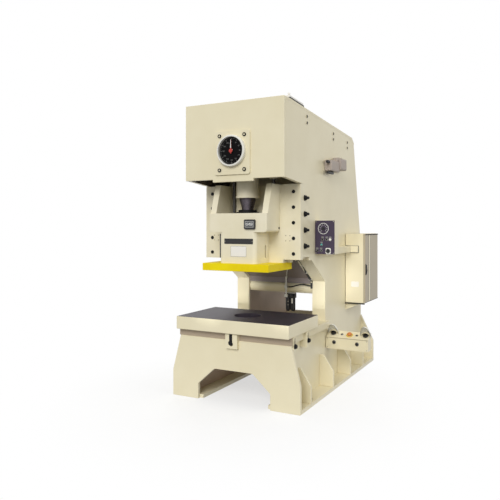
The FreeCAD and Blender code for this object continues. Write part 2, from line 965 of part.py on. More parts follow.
def balance_rods():
    """The rods and pistons of the two counterbalance cylinders."""
    parts = []
    top = BALANCE_LOW + d.balance_length - d.balance_wall - 6
    for side in (-1, 1):
        spot = (d.balance_x * side, d.balance_y)
        stem = rod("Z", d.balance_rod, POCKET_FLOOR, top, spot)
        piston = rod("Z", d.balance_bore - 0.1, top - d.balance_piston, top, spot)
        parts.append(fuse(stem, piston))
    keep("counterbalance_rods", group(*parts))


def balance_cylinders():
    parts = []
    for side in (-1, 1):
        spot = (d.balance_x * side, d.balance_y)
        low, high = BALANCE_LOW, BALANCE_LOW + d.balance_length
        shell = rod("Z", d.balance_bore + d.balance_wall, low, high, spot)
        bore = rod("Z", d.balance_bore, low + d.balance_wall, high - d.balance_wall, spot)
        gland = rod("Z", d.balance_rod + 0.1, low - 5, low + d.balance_wall + 5, spot)
        arm_front = d.balance_y - 10 + d.balance_bore
        ear = block((spot[0] - 40, spot[0] + 40), (arm_front, d.bearing_plate_y),
                    (high - 120, high - 60))
        parts.append(cut(fuse(shell, ear), bore, gland))
    keep("counterbalance_cylinders", group(*parts))


def height_counter():
    """The die height counter: a rounded housing on the slide's front."""
    x, z = 160, NOSE_TOP + 84
    front = -d.slide_front
    half_w, half_h = 66, 52
    outline = [(x - half_w, z - half_h), (x + half_w, z - half_h),
               (x + half_w, z + half_h), (x - half_w, z + half_h)]
    keep("height_counter", plate("XZ", outline, front - 22, front, [(14, outline)]))


# ------------------------------------------- crankshaft, gears and flywheel

def gear_outline(teeth, module, widen):
    """Straight-sided teeth on a wheel; widen narrows each tooth's flanks."""
    points = []
    pitch = 2 * math.pi / teeth
    root = module * teeth / 2 - 1.2 * module
    tip = module * teeth / 2 + 0.95 * module
    root_half = pitch * 0.32 - widen / root
    tip_half = pitch * 0.13 - widen / tip
    for i in range(teeth):
        centre = i * pitch
        for radius, offset in ((root, -root_half), (tip, -tip_half),
                               (tip, tip_half), (root, root_half)):
            angle = centre + offset
            points.append(Vector(radius * math.sin(angle), 0, radius * math.cos(angle)))
    points.append(points[0])
    return points


def toothed_wheel(label, teeth, width, turn_degrees, bore):
    """A spur wheel with its axis along Y through the origin."""
    outline = gear_outline(teeth, d.gear_module.value, d.tooth_gap.value / 2)
    face = Part.Face(Part.makePolygon(outline))
    solid = face.extrude(Vector(0, width, 0))
    solid = solid.cut(Part.makeCylinder(bore, width, Vector(), Vector(0, 1, 0)))
    solid.rotate(Vector(), Vector(0, 1, 0), turn_degrees)
    item = doc.addObject("Part::Feature", label)
    item.Shape = solid
    return item


def crankshaft():
    """Journals either side of an offset pin, cheeks, and a stepped gear seat."""
    y0 = FRONT + 1
    web_front = -d.pin_half
    web_back = d.pin_half
    gear_end = d.gear_y + d.gear_width + 30
    parts = [
        rod("Y", 22, FRONT - d.dial_depth + 22, y0, (0, CRANK_Z)),
        rod("Y", d.journal_radius, y0, web_front, (0, CRANK_Z)),
        rod("Y", d.pin_radius, web_front, web_back, (0, PIN_Z)),
        rod("Y", d.journal_radius, web_back, gear_end, (0, CRANK_Z)),
    ]
    half = d.web_radius
    for low, high in ((web_front - d.web_wall, web_front), (web_back, web_back + d.web_wall)):
        parts.append(block((-half, half), (low, high), (CRANK_Z, PIN_Z)))
        parts.append(rod("Y", half, low, high, (0, CRANK_Z)))
        parts.append(rod("Y", half, low, high, (0, PIN_Z)))
    keep("crankshaft", fuse(*parts))


def crank_bushes():
    parts = []
    for y, wall in ((FRONT, d.crown_wall), (d.bearing_plate_y, d.bearing_plate_wall)):
        outer = rod("Y", d.journal_radius + d.bush_wall, y, y + wall, (0, CRANK_Z))
        inner = rod("Y", d.journal_radius + d.bush_gap, y - 5, y + wall + 5, (0, CRANK_Z))
        parts.append(cut(outer, inner))
    for y in (d.bearing_plate_y, d.rear_bearing_y):
        wall = d.bearing_plate_wall
        shaft = d.pinion_shaft_radius
        outer = rod("Y", shaft + d.bush_wall, y, y + wall, (0, PINION_Z))
        inner = rod("Y", shaft + d.bush_gap, y - 5, y + wall + 5, (0, PINION_Z))
        parts.append(cut(outer, inner))
    keep("shaft_bushes", group(*parts))


def main_gear():
    width = d.gear_width.value
    wheel = toothed_wheel("gear_teeth_ring", int(DRIVING_SIZES["gear_teeth"]), width, 0,
                          d.journal_radius.value)
    place(wheel, 0, d.gear_y, CRANK_Z)
    web = (d.gear_width - d.gear_web) / 2
    rim = GEAR_RADIUS - 80
    span = [(d.gear_y - 5, d.gear_y + web), (d.gear_y + d.gear_width - web,
                                             d.gear_y + d.gear_width + 5)]
    recesses = []
    for low, high in span:
        ring = rod("Y", rim, low, high, (0, CRANK_Z))
        recesses.append(cut(ring, rod("Y", d.gear_hub, low - 5, high + 5, (0, CRANK_Z))))
    keep("main_gear", cut(wheel, *recesses))


def pinion_shaft():
    """The pinion, its shaft and the driven side of the clutch."""
    teeth = int(DRIVING_SIZES["pinion_teeth"])
    half_pitch = 180 / teeth
    wheel = toothed_wheel("pinion_teeth_ring", teeth, d.gear_width.value, half_pitch,
                          d.pinion_shaft_radius.value - 2)
    place(wheel, 0, d.gear_y, PINION_Z)
    start = d.bearing_plate_y - 20
    back = d.flywheel_y + d.flywheel_width + 30
    shaft = rod("Y", d.pinion_shaft_radius, start, back, (0, PINION_Z))
    drum_end = d.flywheel_y - 12
    drum = rod("Y", d.clutch_radius, drum_end - 50, drum_end, (0, PINION_Z))
    keep("pinion_shaft", fuse(wheel, shaft, drum))


def flywheel():
    """Rim, web and hub, with one groove in the rim for each belt."""
    y = d.flywheel_y
    width = d.flywheel_width
    hub = d.flywheel_hub
    bore = d.pinion_shaft_radius + d.bush_gap
    web_low = (width - d.flywheel_web) / 2
    web_high = (width + d.flywheel_web) / 2
    inner = d.flywheel_radius - d.flywheel_rim
    profile = [(bore, 0), (hub, 0), (hub, web_low), (inner, web_low), (inner, 0),
               (d.flywheel_radius, 0)]
    profile += groove_profile(d.flywheel_radius, width / 2)
    profile += [(d.flywheel_radius, width), (inner, width), (inner, web_high),
                (hub, web_high), (hub, width), (bore, width)]
    keep("flywheel", turned("Y", profile, 0, y, PINION_Z))


def groove_profile(radius, middle):
    """The outline of the V grooves, belt by belt."""
    points = []
    count = int(DRIVING_SIZES["belt_count"])
    for i in range(count):
        centre = middle + d.belt_pitch * (i - (count - 1) / 2)
        floor = radius - d.belt_height - d.belt_gap
        points += [(radius, centre - 12), (floor, centre - 8), (floor, centre + 8),
                   (radius, centre + 12)]
    return points


MOTOR_Z = PINION_Z - d.motor_drop


def motor():
    """A foot-mounted motor with a finned shell, on a base rail."""
    front, back = d.motor_front, d.motor_back
    spot = (0, MOTOR_Z)
    shell_front = front + d.cowl_length
    shell_back = back - d.rear_cap
    shell = rod("Y", d.motor_radius, shell_front, shell_back, spot)
    cowl = rod("Y", d.motor_radius - d.cowl_step, front, shell_front, spot)
    nose = rod("Y", d.motor_radius - d.nose_step, shell_back, shell_back + d.nose_length, spot)
    fins = []
    for i in range(6):
        y = shell_front + d.fin_first + d.fin_pitch * i
        fins.append(rod("Y", d.motor_radius + d.fin_height, y, y + d.fin_width, spot))
    sole = MOTOR_Z - d.motor_radius - d.motor_foot_wall
    foot_front = shell_front + d.motor_foot_inset
    foot_back = shell_back - d.motor_foot_rear
    feet = block((-d.motor_foot_half, d.motor_foot_half), (foot_front, foot_back),
                 (sole, MOTOR_Z - d.motor_radius + d.motor_foot_rise))
    box_front = shell_front + d.terminal_inset
    box_low = MOTOR_Z + d.terminal_x
    terminal = block((d.terminal_x, d.terminal_x + d.terminal_width),
                     (box_front, box_front + d.terminal_length),
                     (box_low, box_low + d.terminal_height))
    rail = block((-INNER, INNER), (foot_front - d.rail_end, foot_back + d.rail_end),
                 (sole - d.rail_wall, sole))
    bore = rod("Y", d.motor_shaft + d.bush_gap, back - 60, back - 5, spot)
    keep("motor", cut(fuse(shell, cowl, nose, *fins, feet, terminal, rail), bore))


def motor_pulley():
    y = d.flywheel_y
    width = d.flywheel_width
    profile = [(0, d.motor_back - 60 - y), (d.motor_shaft, d.motor_back - 60 - y),
               (d.motor_shaft, 20), (d.pulley_radius, 20)]
    profile += groove_profile(d.pulley_radius, width / 2)
    profile += [(d.pulley_radius, width - 20), (0, width - 20)]
    keep("motor_pulley", turned("Y", profile, 0, y, MOTOR_Z))


def drive_belts():
    """Closed V-belts from the motor's pulley round the flywheel."""
    belts = []
    count = int(DRIVING_SIZES["belt_count"])
    middle = (d.flywheel_y + d.flywheel_width / 2).value
    drop = d.belt_height.value
    big, small = d.flywheel_radius.value, d.pulley_radius.value
    gap = (PINION_Z - MOTOR_Z).value
    for i in range(count):
        y = middle + d.belt_pitch.value * (i - (count - 1) / 2) - 7.2
        outer = belt_loop(big, small, gap, y)
        inner = belt_loop(big - drop, small - drop, gap, y)
        belts.append(outer.cut(inner))
    item = doc.addObject("Part::Feature", "belts")
    item.Shape = Part.makeCompound(belts)
    place(item, 0, 0, MOTOR_Z)
    keep("drive_belts", item)


def belt_loop(big, small, gap, y):
    """A slab round two pulleys, the small one at the origin, the big one above."""
    lean = math.asin((big - small) / gap)
    side, rise = math.cos(lean), math.sin(lean)
    ends = [Vector(small * side, y, -small * rise), Vector(big * side, y, gap - big * rise),
            Vector(0, y, gap + big), Vector(-big * side, y, gap - big * rise),
            Vector(-small * side, y, -small * rise), Vector(0, y, -small)]
    edges = [
        Part.LineSegment(ends[0], ends[1]),
        Part.Arc(ends[1], ends[2], ends[3]),
        Part.LineSegment(ends[3], ends[4]),
        Part.Arc(ends[4], ends[5], ends[0]),
    ]
    wire = Part.Wire([edge.toShape() for edge in edges])
    return Part.Face(wire).extrude(Vector(0, 14.4, 0))


# -------------------------------------------------------- crank angle dial

DIAL_FACE_Y = FRONT - d.dial_cover_wall


def dial():
    half = d.dial_cover_width / 2
    high = d.dial_cover_height / 2
    middle = CRANK_Z - 18
    outline = [(-half, middle - high), (half, middle - high),
               (half, middle + high), (-half, middle + high)]
    body = plate("XZ", outline, DIAL_FACE_Y, FRONT, [(d.dial_cover_round, outline)])
    heads = []
    for side in (-1, 1):
        for level in (-1, 1):
            spot = (d.dial_bolt_x * side, middle + d.dial_bolt_z * level)
            heads.append(rod("Y", d.dial_bolt, DIAL_FACE_Y - 9, DIAL_FACE_Y, spot))
    hole = rod("Y", 40, DIAL_FACE_Y - 5, FRONT + 5, (0, CRANK_Z))
    keep("dial_cover", fuse(cut(body, hole), *heads))
    start = -d.dial_depth + d.dial_cover_wall
    profile = [(23, -6), (d.dial_face_radius, -6), (d.dial_face_radius, start),
               (d.dial_radius - 6, start), (d.dial_radius, start + 6), (d.dial_radius, 0), (23, 0)]
    keep("dial_bezel", turned("Y", profile, 0, DIAL_FACE_Y, CRANK_Z))
    low = FRONT - d.dial_depth + 16
    half = d.pointer_width / 2
    needle = [(-half, CRANK_Z - 30), (half, CRANK_Z - 30), (half, CRANK_Z + 40),
              (3, CRANK_Z + d.pointer_length), (-3, CRANK_Z + d.pointer_length),
              (-half, CRANK_Z + 40)]
    arm = plate("XZ", needle, low, low + 6)
    boss = rod("Y", 20, low, low + 6, (0, CRANK_Z))
    keep("dial_pointer", fuse(arm, boss))


# -------------------------------------------------------- fittings on the frame

def roof_height(y):
    """The roof's upper face at a given y behind the flat part."""
    run = d.roof_rear + d.roof_wall - (FRONT + d.roof_flat)
    return CROWN_TOP - d.roof_fall * (y - (FRONT + d.roof_flat)) / run


def roof_cover():
    y0, y1 = d.roof_cover_front, d.roof_cover_back
    high = d.roof_cover_high
    outline = [(y0, roof_height(y0)), (y1, roof_height(y1)),
               (y1, roof_height(y1) + high), (y0, roof_height(y0) + high)]
    right = d.roof_cover_right
    lid = plate("YZ", outline, right - d.roof_cover_width, right)
    knob = rod("Z", 16, roof_height(y0), roof_height(y0) + high + 34, (right - 30, y0 + 30))
    top = rod("Z", 22, roof_height(y0) + high + 16, roof_height(y0) + high + 34,
              (right - 30, y0 + 30))
    keep("roof_cover", fuse(lid, knob, top))


def clutch_valve():
    """The double valve of the clutch and brake, with coils and silencer."""
    y0, y1 = d.valve_y, d.valve_y + d.valve_length
    z = CRANK_Z - d.valve_drop
    reach = d.valve_reach
    half = d.valve_height / 2
    x = HALF
    outline = [(x, z - half), (x + reach, z - half), (x + reach, z + half), (x, z + half)]
    body = plate("XZ", outline, y0, y1, [(36, [outline[2]]), (14, [outline[1]])])
    coils = []
    for level in (-38, 38):
        spot = (x + reach / 2, z + level)
        coils.append(rod("Y", d.solenoid_radius, y0 - d.solenoid_length, y0, spot))
    port = rod("Y", d.silencer_radius, y1, y1 + d.silencer_length, (x + reach / 2, z - 30))
    keep("clutch_valve", fuse(body, port, *coils))


def air_tank():
    """A dished tank across the column, carried by a stub at each end."""
    half = INNER - 45
    spot = (d.tank_y, up(d.tank_z))
    r = d.tank_radius
    profile = [(0, -half - 30), (r * 0.6, -half - 22), (r, -half + 10), (r, half - 10),
               (r * 0.6, half + 22), (0, half + 30)]
    shell = turned("X", profile, 0, *spot)
    stubs = rod("X", 30, -INNER, INNER, spot)
    keep("air_tank", fuse(shell, stubs))


def air_unit():
    """Filter and oiler under the tank, on a saddle bracket."""
    x, y, top = d.frl_x, d.frl_y, up(d.frl_top)
    head_low, bowl_low, foot = top - 56, top - 200, top - 226
    head = block((x - 68, x + 68), (y - 28, y + 28), (head_low, top))
    bowls = []
    for offset in (-35, 35):
        bowls.append(rod("Z", d.bowl_radius, bowl_low, head_low, (x + offset, y)))
        bowls.append(taper("Z", d.bowl_radius - 12, d.bowl_radius, foot, bowl_low, (x + offset, y)))
    knob = rod("Y", 18, y - 54, y - 28, (x + 35, top - 28))
    strap = block((x + 5, x + 55), (y + 8, y + 28), (top, up(d.tank_z)))
    saddle = rod("X", d.tank_radius + 0.3, x - 80, x + 80, (d.tank_y, up(d.tank_z)))
    keep("air_unit", fuse(head, *bowls, knob, cut(strap, saddle)))


def tube(points, radius):
    """A round tube on straight runs joined by tangent arcs."""
    spots = [Vector(*[size(value).value for value in point]) for point in points]
    edges = []
    start = spots[0]
    for before, corner, after in zip(spots, spots[1:], spots[2:]):
        a = (before - corner)
        b = (after - corner)
        reach = 0.45 * min(a.Length, b.Length)
        a.normalize()
        b.normalize()
        first = corner + a * reach
        last = corner + b * reach
        half = a.getAngle(b) / 2
        bend = reach * math.tan(half)
        print("bend radius", round(bend, 1))
        middle = (a + b).normalize() * (bend / math.sin(half) - bend)
        edges.append(Part.LineSegment(start, first).toShape())
        edges.append(Part.Arc(first, corner + middle, last).toShape())
        start = last
    edges.append(Part.LineSegment(start, spots[-1]).toShape())
    wire = Part.Wire(edges)
    ring = Part.Wire(Part.makeCircle(radius, spots[0], spots[1] - spots[0]))
    hose = wire.makePipeShell([ring], True, False)
    print("tube length", round(wire.Length, 1), "volume", round(hose.Volume),
          "section times length", round(math.pi * radius ** 2 * wire.Length))
    return hose


def pipes():
    """The steel pipe from the side plate down to the filter, with a tee whose hose
    runs to the column."""
    x, y, tee = d.pipe_x, d.pipe_y, up(d.pipe_tee)
    half = d.tee_half
    head = up(d.frl_top) - 28
    high = up(d.pipe_high)
    stem = rod("Z", d.pipe_radius, head, high, (x, y))
    inlet = rod("Y", d.pipe_radius, y, d.frl_y - 28, (x, head))
    elbow = block((x - half, x + half), (y - half, y + half), (head - half, head + half))
    tee_block = block((x - half, x + half), (y - half, y + half), (tee - half, tee + half))
    corner = block((x - half, x + half), (y - half, y + half), (high - half, high + half))
    branch = rod("X", d.pipe_radius, x, INNER, (y, high))
    keep("air_pipe", fuse(stem, inlet, elbow, tee_block, corner, branch))
    edge = HALF - d.lining_width
    start = x + half
    end = up(d.hose_end)
    item = doc.addObject("Part::Feature", "hose")
    item.Shape = tube([(start, y, tee), (start + 50, y, tee), (start + 118, y - 2, tee + 24),
                       (start + 205, y - 3, tee + 44), (edge - 62, y - 2, end),
                       (edge, y - 2, end)], d.hose_radius.value)
    keep("air_hose", item)


# ------------------------------------------------------------ electric cabinet

def cabinet():
    """The hollow cabinet, its bracket and the fixed halves of its hinges."""
    x0 = HALF + d.cabinet_gap
    x1 = x0 + d.cabinet_width
    y0, y1 = d.cabinet_front, d.cabinet_back
    z0, z1 = up(d.cabinet_low), up(d.cabinet_high)
    wall = d.cabinet_wall
    shell = block((x0, x1), (y0, y1), (z0, z1))
    room = block((x0 + wall, x1 + 5), (y0 + wall, y1 - wall), (z0 + wall, z1 - wall))
    mounts = []
    for z in (z0 + 60, z1 - 120):
        mounts.append(block((HALF, x0), (y0 + 60, y1 - 60), (z, z + 60)))
    bracket = plate("XZ", [(HALF, z0), (x1 - 20, z0), (HALF, z0 - d.bracket_height)],
                    y0 + 30, y0 + 30 + d.bracket_wall)
    bracket_b = plate("XZ", [(HALF, z0), (x1 - 20, z0), (HALF, z0 - d.bracket_height)],
                      y1 - 42, y1 - 30)
    hx, hy = x1 + 1 + d.door_wall / 2, y1 + 8
    hinges = []
    for z in (z0 + 120, z1 - 190):
        hinges.append(rod("Z", 9, z + 41, z + 71, (hx, hy)))
        hinges.append(rod("Z", 5, z, z + 41, (hx, hy)))
        hinges.append(block((x1 - 20, hx), (y1, y1 + 8), (z + 43, z + 69)))
    keep("cabinet", fuse(cut(shell, room), *mounts, bracket, bracket_b, *hinges))
    inner = x1 + d.door_gap
    sheet_wall = d.door_sheet
    pan = block((inner, inner + d.door_wall), (y0 + 2, y1 - 2), (z0 + 2, z1 - 2))
    hollow = block((inner - 5, inner + d.door_wall - sheet_wall),
                   (y0 + 2 + sheet_wall, y1 - 2 - sheet_wall - 9),
                   (z0 + 2 + sheet_wall, z1 - 2 - sheet_wall))
    slab = cut(pan, hollow)
    pull = block((inner + d.door_wall, inner + d.door_wall + 9), (y0 + 30, y0 + 50),
                 (z0 + 365, z0 + 505))
    knuckles = []
    bores = []
    for z in (z0 + 120, z1 - 190):
        knuckles.append(rod("Z", 9, z + 1, z + 40, (hx, hy)))
        knuckles.append(block((hx - 7, hx + 7), (y1 - 6, hy), (z + 1, z + 40)))
        bores.append(rod("Z", 5.05, z, z + 41, (hx, hy)))
    keep("cabinet_door", cut(fuse(slab, pull, *knuckles), *bores))


def cable_duct():
    y0 = d.panel_front + d.panel_face_wall + d.panel_depth
    y1 = d.cabinet_front
    z = (up(d.duct_low), up(d.duct_high))
    run = block((HALF, HALF + d.duct_width), (y0, y1), z)
    end = block((HALF + d.duct_gap, HALF + d.duct_flange), (y1 - d.duct_flange_wall, y1), z)
    keep("cable_duct", fuse(run, end))


# ------------------------------------------------- operator's panel and console

PANEL_X = HALF + 3


def push_button(name, radius, x, z, front, sink, proud):
    keep(name, rod("Y", radius, front - proud, front + sink, (x, z)))


def panel():
    x1 = PANEL_X + d.panel_width
    y = d.panel_front + d.panel_face_wall
    z0, z1 = up(d.panel_low), up(d.panel_high)
    outer = block((HALF, x1), (y, y + d.panel_depth), (z0, z1))
    room = block((HALF + 6, x1 - 3), (y - 5, y + d.panel_depth - 3), (z0 + 3, z1 - 3))
    keep("panel_box", cut(outer, room))
    face = block((PANEL_X, x1), (d.panel_front, y), (z0, z1))
    gauge_spot = (PANEL_X + 102, z1 - 92)
    ring = rod("Y", d.gauge_radius, d.panel_front - 5, d.panel_front, gauge_spot)
    dish = rod("Y", d.gauge_radius - 9, d.panel_front - 10, d.panel_front - 1, gauge_spot)
    row = z1 - 218
    spots = {"run_button": (PANEL_X + 91, row), "stop_button": (PANEL_X + 141, row)}
    holes = []
    for name, spot in spots.items():
        holes.append(rod("Y", d.button_radius + 0.4, d.panel_front - 5, y + 5, spot))
        push_button(name, d.button_radius, *spot, d.panel_front, 14, d.button_proud)
    key_spot = (PANEL_X + 159, z0 + 38)
    holes.append(rod("Y", 14.05, d.panel_front - 5, y + 5, key_spot))
    stem = rod("Y", 14, d.panel_front - 4, y + 8, key_spot)
    knob = rod("Y", 24, d.panel_front - 12, d.panel_front - 0.5, key_spot)
    lever = block((key_spot[0] - 5, key_spot[0] + 5), (d.panel_front - 26, d.panel_front - 12),
                  (key_spot[1] - 20, key_spot[1] + 20))
    keep("key_switch", fuse(stem, knob, lever))
    keep("panel_face", cut(fuse(face, ring), dish, *holes))


CONSOLE_SLOPE = 115


def tilted(item, y, z, x, offset=0):
    """Stand an upright piece on the console's sloping top."""
    angle = math.degrees(math.atan2((d.console_high - d.console_edge).value, CONSOLE_SLOPE))
    item.Placement = FreeCAD.Placement(Vector(), FreeCAD.Rotation(Vector(1, 0, 0), angle))
    return place(item, x, y - offset * math.sin(math.radians(angle)),
                 z + offset * math.cos(math.radians(angle)))


def upright(radius, height):
    item = doc.addObject("Part::Cylinder", "upright")
    bind(item, "Radius", radius)
    bind(item, "Height", height)
    return item


def console():
    x0 = d.console_left
    x1 = x0 + d.console_width
    y0 = d.console_front
    z0, edge, z1 = up(d.console_low), up(d.console_edge), up(d.console_high)
    back = y0 + d.console_depth
    outer = plate("YZ", [(y0, z0), (back, z0), (back, z1), (y0 + CONSOLE_SLOPE, z1), (y0, edge)],
                  x0, x1)
    room = plate("YZ", [(y0 + 3, z0 + 3), (back - 3, z0 + 3), (back - 3, z1 - 3),
                        (y0 + CONSOLE_SLOPE + 1, z1 - 3), (y0 + 3, edge - 2)], x0 + 3, x1 - 3)
    mount = block((HALF, x0), (y0 + 20, back - 20), (z0 + 20, edge - 20))
    middle_y = y0 + CONSOLE_SLOPE / 2
    middle_z = (edge + z1) / 2
    holes = []
    hoods = []
    for name, x in (("palm_button_left", x0 + 77), ("palm_button_right", x1 - 43)):
        cap = tilted(upright(d.palm_radius, 13), middle_y, middle_z, x, 9)
        stem = tilted(upright(12, 24), middle_y, middle_z, x, -14)
        keep(name, fuse(cap, stem))
        holes.append(tilted(upright(12.4, 40), middle_y, middle_z, x, -20))
        hood = doc.addObject("Part::Sphere", "hood")
        bind(hood, "Radius", d.guard_radius)
        hood.Angle1 = 0
        hood.Angle3 = 180
        hollow = doc.addObject("Part::Sphere", "hollow")
        bind(hollow, "Radius", d.guard_radius - 6)
        hoods.append(cut(tilted(hood, middle_y, middle_z, x), tilted(hollow, middle_y, middle_z, x)))
    for name, x in (("console_button_left", x0 + 184), ("console_button_right", x0 + 366)):
        keep(name, tilted(upright(d.button_radius, 22), middle_y, middle_z, x, -14))
        holes.append(tilted(upright(d.button_radius + 0.4, 40), middle_y, middle_z, x, -20))
    x = x0 + 277
    cap = tilted(upright(d.estop_radius, 14), middle_y, middle_z, x, 10)
    stem = tilted(upright(12, 26), middle_y, middle_z, x, -14)
    keep("emergency_stop", fuse(cap, stem))
    holes.append(tilted(upright(12.4, 40), middle_y, middle_z, x, -20))
    for name, x in (("mode_knob_left", x0 + 102), ("mode_knob_right", x0 + 385)):
        spot = (x, edge - 58)
        stem = rod("Y", 10, y0 - 2, y0 + 12, spot)
        knob = rod("Y", 17, y0 - 14, y0 - 0.5, spot)
        ridge = block((x - 4, x + 4), (y0 - 22, y0 - 14), (spot[1] - 15, spot[1] + 15))
        keep(name, fuse(stem, knob, ridge))
        holes.append(rod("Y", 10.05, y0 - 5, y0 + 20, spot))
    keep("console_box", cut(fuse(cut(outer, room), mount, *hoods), *holes))


def rear_guard():
    """The sheet that closes the back of the drive."""
    wall = d.guard_wall
    y = d.frame_rear - d.base_wall
    corner = ROOF_REAR - d.rear_corner_drop
    low = REAR_BEND - 490
    outline = [(CORNER_Y, corner), (y, REAR_BEND), (y, low), (y + wall, low),
               (y + wall, REAR_BEND), (CORNER_Y + wall, corner)]
    keep("rear_guard", plate("YZ", outline, -HALF + 12, HALF - 12))


# ------------------------------------------------------------- the whole press

def build():
    fill_sheet()
    for side, word in ((-1, "left"), (1, "right")):
        outer = HALF * side
        side_plate(f"side_plate_{word}", side)
        lining = ((HALF - d.lining_width) * side, outer)[::side]
        throat_lining(f"throat_lining_{word}", *lining, side > 0)
        gib(f"gib_{word}", side)
    crown_front()
    crown_roof()
    bearing_plates()
    bed_front()
    bed_plate()
    bolster()
    rear_plate()
    gussets = foot("foot_left", -1) + foot("foot_right", 1)
    keep("foot_gussets", group(*gussets))
    gib_screws()
    slide()
    slide_plate()
    ball_cap()
    connecting_rod()
    adjusting_screw()
    balance_rods()
    balance_cylinders()
    height_counter()
    crankshaft()
    crank_bushes()
    main_gear()
    pinion_shaft()
    flywheel()
    motor()
    motor_pulley()
    drive_belts()
    dial()
    roof_cover()
    clutch_valve()
    air_tank()
    air_unit()
    pipes()
    cabinet()
    cable_duct()
    panel()
    console()
    rear_guard()


def check():
    """Stop with a message if anything in the document failed."""
    faults = [f"{item.Label}: {item.State}" for item in doc.Objects
              if "Invalid" in item.State or "Error" in item.State]
    for name, item in nodes.items():
        if item.Shape.isNull() or not item.Shape.isValid() or not item.Shape.Solids:
            faults.append(f"{name}: bad shape")
    if faults:
        print("\n".join(faults))
        sys.exit(1)


def export():
    os.makedirs("parts", exist_ok=True)
    for name, item in nodes.items():
        item.Shape.exportStep(f"parts/{name}.step")
        print(name, len(item.Shape.Solids), round(item.Shape.Volume / 1e6, 3))


build()
doc.recompute()
check()
export()
print(len(nodes), "nodes")
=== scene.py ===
"""Looks of an open-back crank press: paint, screws, gauges, cables and a studio.

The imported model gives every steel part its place. This script paints those
parts, rounds their edges and adds what is too small for the construction.
Lengths are in metres, +X is to the operator's right, +Y goes back, +Z is up.
"""
import json
import math

import bmesh
import bpy
import numpy as np
from bpy.props import FloatProperty, FloatVectorProperty, IntProperty, PointerProperty
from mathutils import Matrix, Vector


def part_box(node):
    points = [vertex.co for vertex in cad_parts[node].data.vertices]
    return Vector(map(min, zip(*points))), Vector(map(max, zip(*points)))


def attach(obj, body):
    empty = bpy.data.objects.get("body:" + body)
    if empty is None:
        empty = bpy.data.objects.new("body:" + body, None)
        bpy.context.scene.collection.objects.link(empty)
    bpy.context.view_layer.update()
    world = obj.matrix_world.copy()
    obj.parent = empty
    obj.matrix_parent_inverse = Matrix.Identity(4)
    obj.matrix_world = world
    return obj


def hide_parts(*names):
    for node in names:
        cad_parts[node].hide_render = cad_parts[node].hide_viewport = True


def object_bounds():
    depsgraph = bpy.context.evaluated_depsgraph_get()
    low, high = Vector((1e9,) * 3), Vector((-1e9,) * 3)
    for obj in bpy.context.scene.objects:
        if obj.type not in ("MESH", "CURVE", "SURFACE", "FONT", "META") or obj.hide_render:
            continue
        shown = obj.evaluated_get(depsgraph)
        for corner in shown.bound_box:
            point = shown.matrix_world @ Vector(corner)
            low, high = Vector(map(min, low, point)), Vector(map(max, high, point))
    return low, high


bl_info = {
    "name": "Stamping press dressing",
    "version": (1, 0, 0),
    "blender": (4, 5, 0),
    "location": "View3D > Sidebar > Press",
    "description": "Finishes, fittings and studio for an open-back crank press",
    "category": "Object",
}

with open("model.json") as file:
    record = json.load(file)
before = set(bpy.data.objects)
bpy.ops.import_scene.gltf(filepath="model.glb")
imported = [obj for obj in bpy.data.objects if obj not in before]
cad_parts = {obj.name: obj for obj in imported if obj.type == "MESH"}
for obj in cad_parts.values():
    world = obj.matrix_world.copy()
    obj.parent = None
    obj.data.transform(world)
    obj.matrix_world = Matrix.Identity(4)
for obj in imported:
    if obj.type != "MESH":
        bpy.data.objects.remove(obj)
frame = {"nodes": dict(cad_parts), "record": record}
CAD_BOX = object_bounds()
NODES = frame["nodes"]
BODY_OF = {node: body for body, nodes in frame["record"]["behaviour"]["bodies"].items()
           for node in nodes}


# ------------------------------------------------------------------ surfaces

def grid_faces(rows, columns, wrap):
    """Quads between neighbouring points of a grid; wrap joins last column to first."""
    row = np.arange(rows - 1)[:, None]
    column = np.arange(columns if wrap else columns - 1)[None, :]
    after = (column + 1) % columns
    here, above = row * columns, (row + 1) * columns
    return np.stack([here + column, here + after, above + after, above + column], -1).reshape(-1, 4)


def capped(rows, columns):
    """The faces of a closed tube of rings, with a flat end on each side."""
    faces = grid_faces(rows, columns, True).tolist()
    faces.append(list(range(columns))[::-1])
    faces.append([columns * (rows - 1) + k for k in range(columns)])
    return faces


def piece(name, points, faces, coat, body="frame", smooth=True, angle=35):
    """A mesh object from points and faces, merged, with its faces pointing outwards."""
    mesh = bpy.data.meshes.new(name)
    mesh.from_pydata(np.asarray(points, float).reshape(-1, 3).tolist(), [],
                     [list(map(int, face)) for face in faces])
    item = bpy.data.objects.new(name, mesh)
    bpy.context.scene.collection.objects.link(item)
    shape = bmesh.new()
    shape.from_mesh(mesh)
    bmesh.ops.remove_doubles(shape, verts=shape.verts, dist=1e-6)
    bmesh.ops.recalc_face_normals(shape, faces=shape.faces)
    shape.to_mesh(mesh)
    shape.free()
    mesh.materials.append(coat)
    if smooth:
        mesh.shade_smooth()
        mesh.set_sharp_from_angle(angle=math.radians(angle))
    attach(item, body)
    return item


AXES = {"X": (1, 2, 0), "Y": (2, 0, 1), "Z": (0, 1, 2)}


def along(axis, flat, distance):
    """Points of a flat shape (u, v) at distances along an axis; u and v follow the
    axis in the order X, Y, Z, X, so the three stay right-handed."""
    first, second, third = AXES[axis]
    points = np.zeros(np.broadcast_shapes(flat[..., 0].shape, np.shape(distance)) + (3,))
    points[..., first] = flat[..., 0]
    points[..., second] = flat[..., 1]
    points[..., third] = distance
    return points


def turned(axis, profile, centre, sides=48):
    """A turned surface: each profile point (radius, distance) becomes a circle of that
    radius at that distance along the axis. Returns points and faces."""
    radius, distance = np.array(profile, float).T
    angle = np.linspace(0, 2 * np.pi, sides, endpoint=False)
    flat = np.stack([np.outer(radius, np.cos(angle)), np.outer(radius, np.sin(angle))], -1)
    points = along(axis, flat, distance[:, None]) + np.array(centre)
    return points.reshape(-1, 3), grid_faces(len(radius), sides, True)


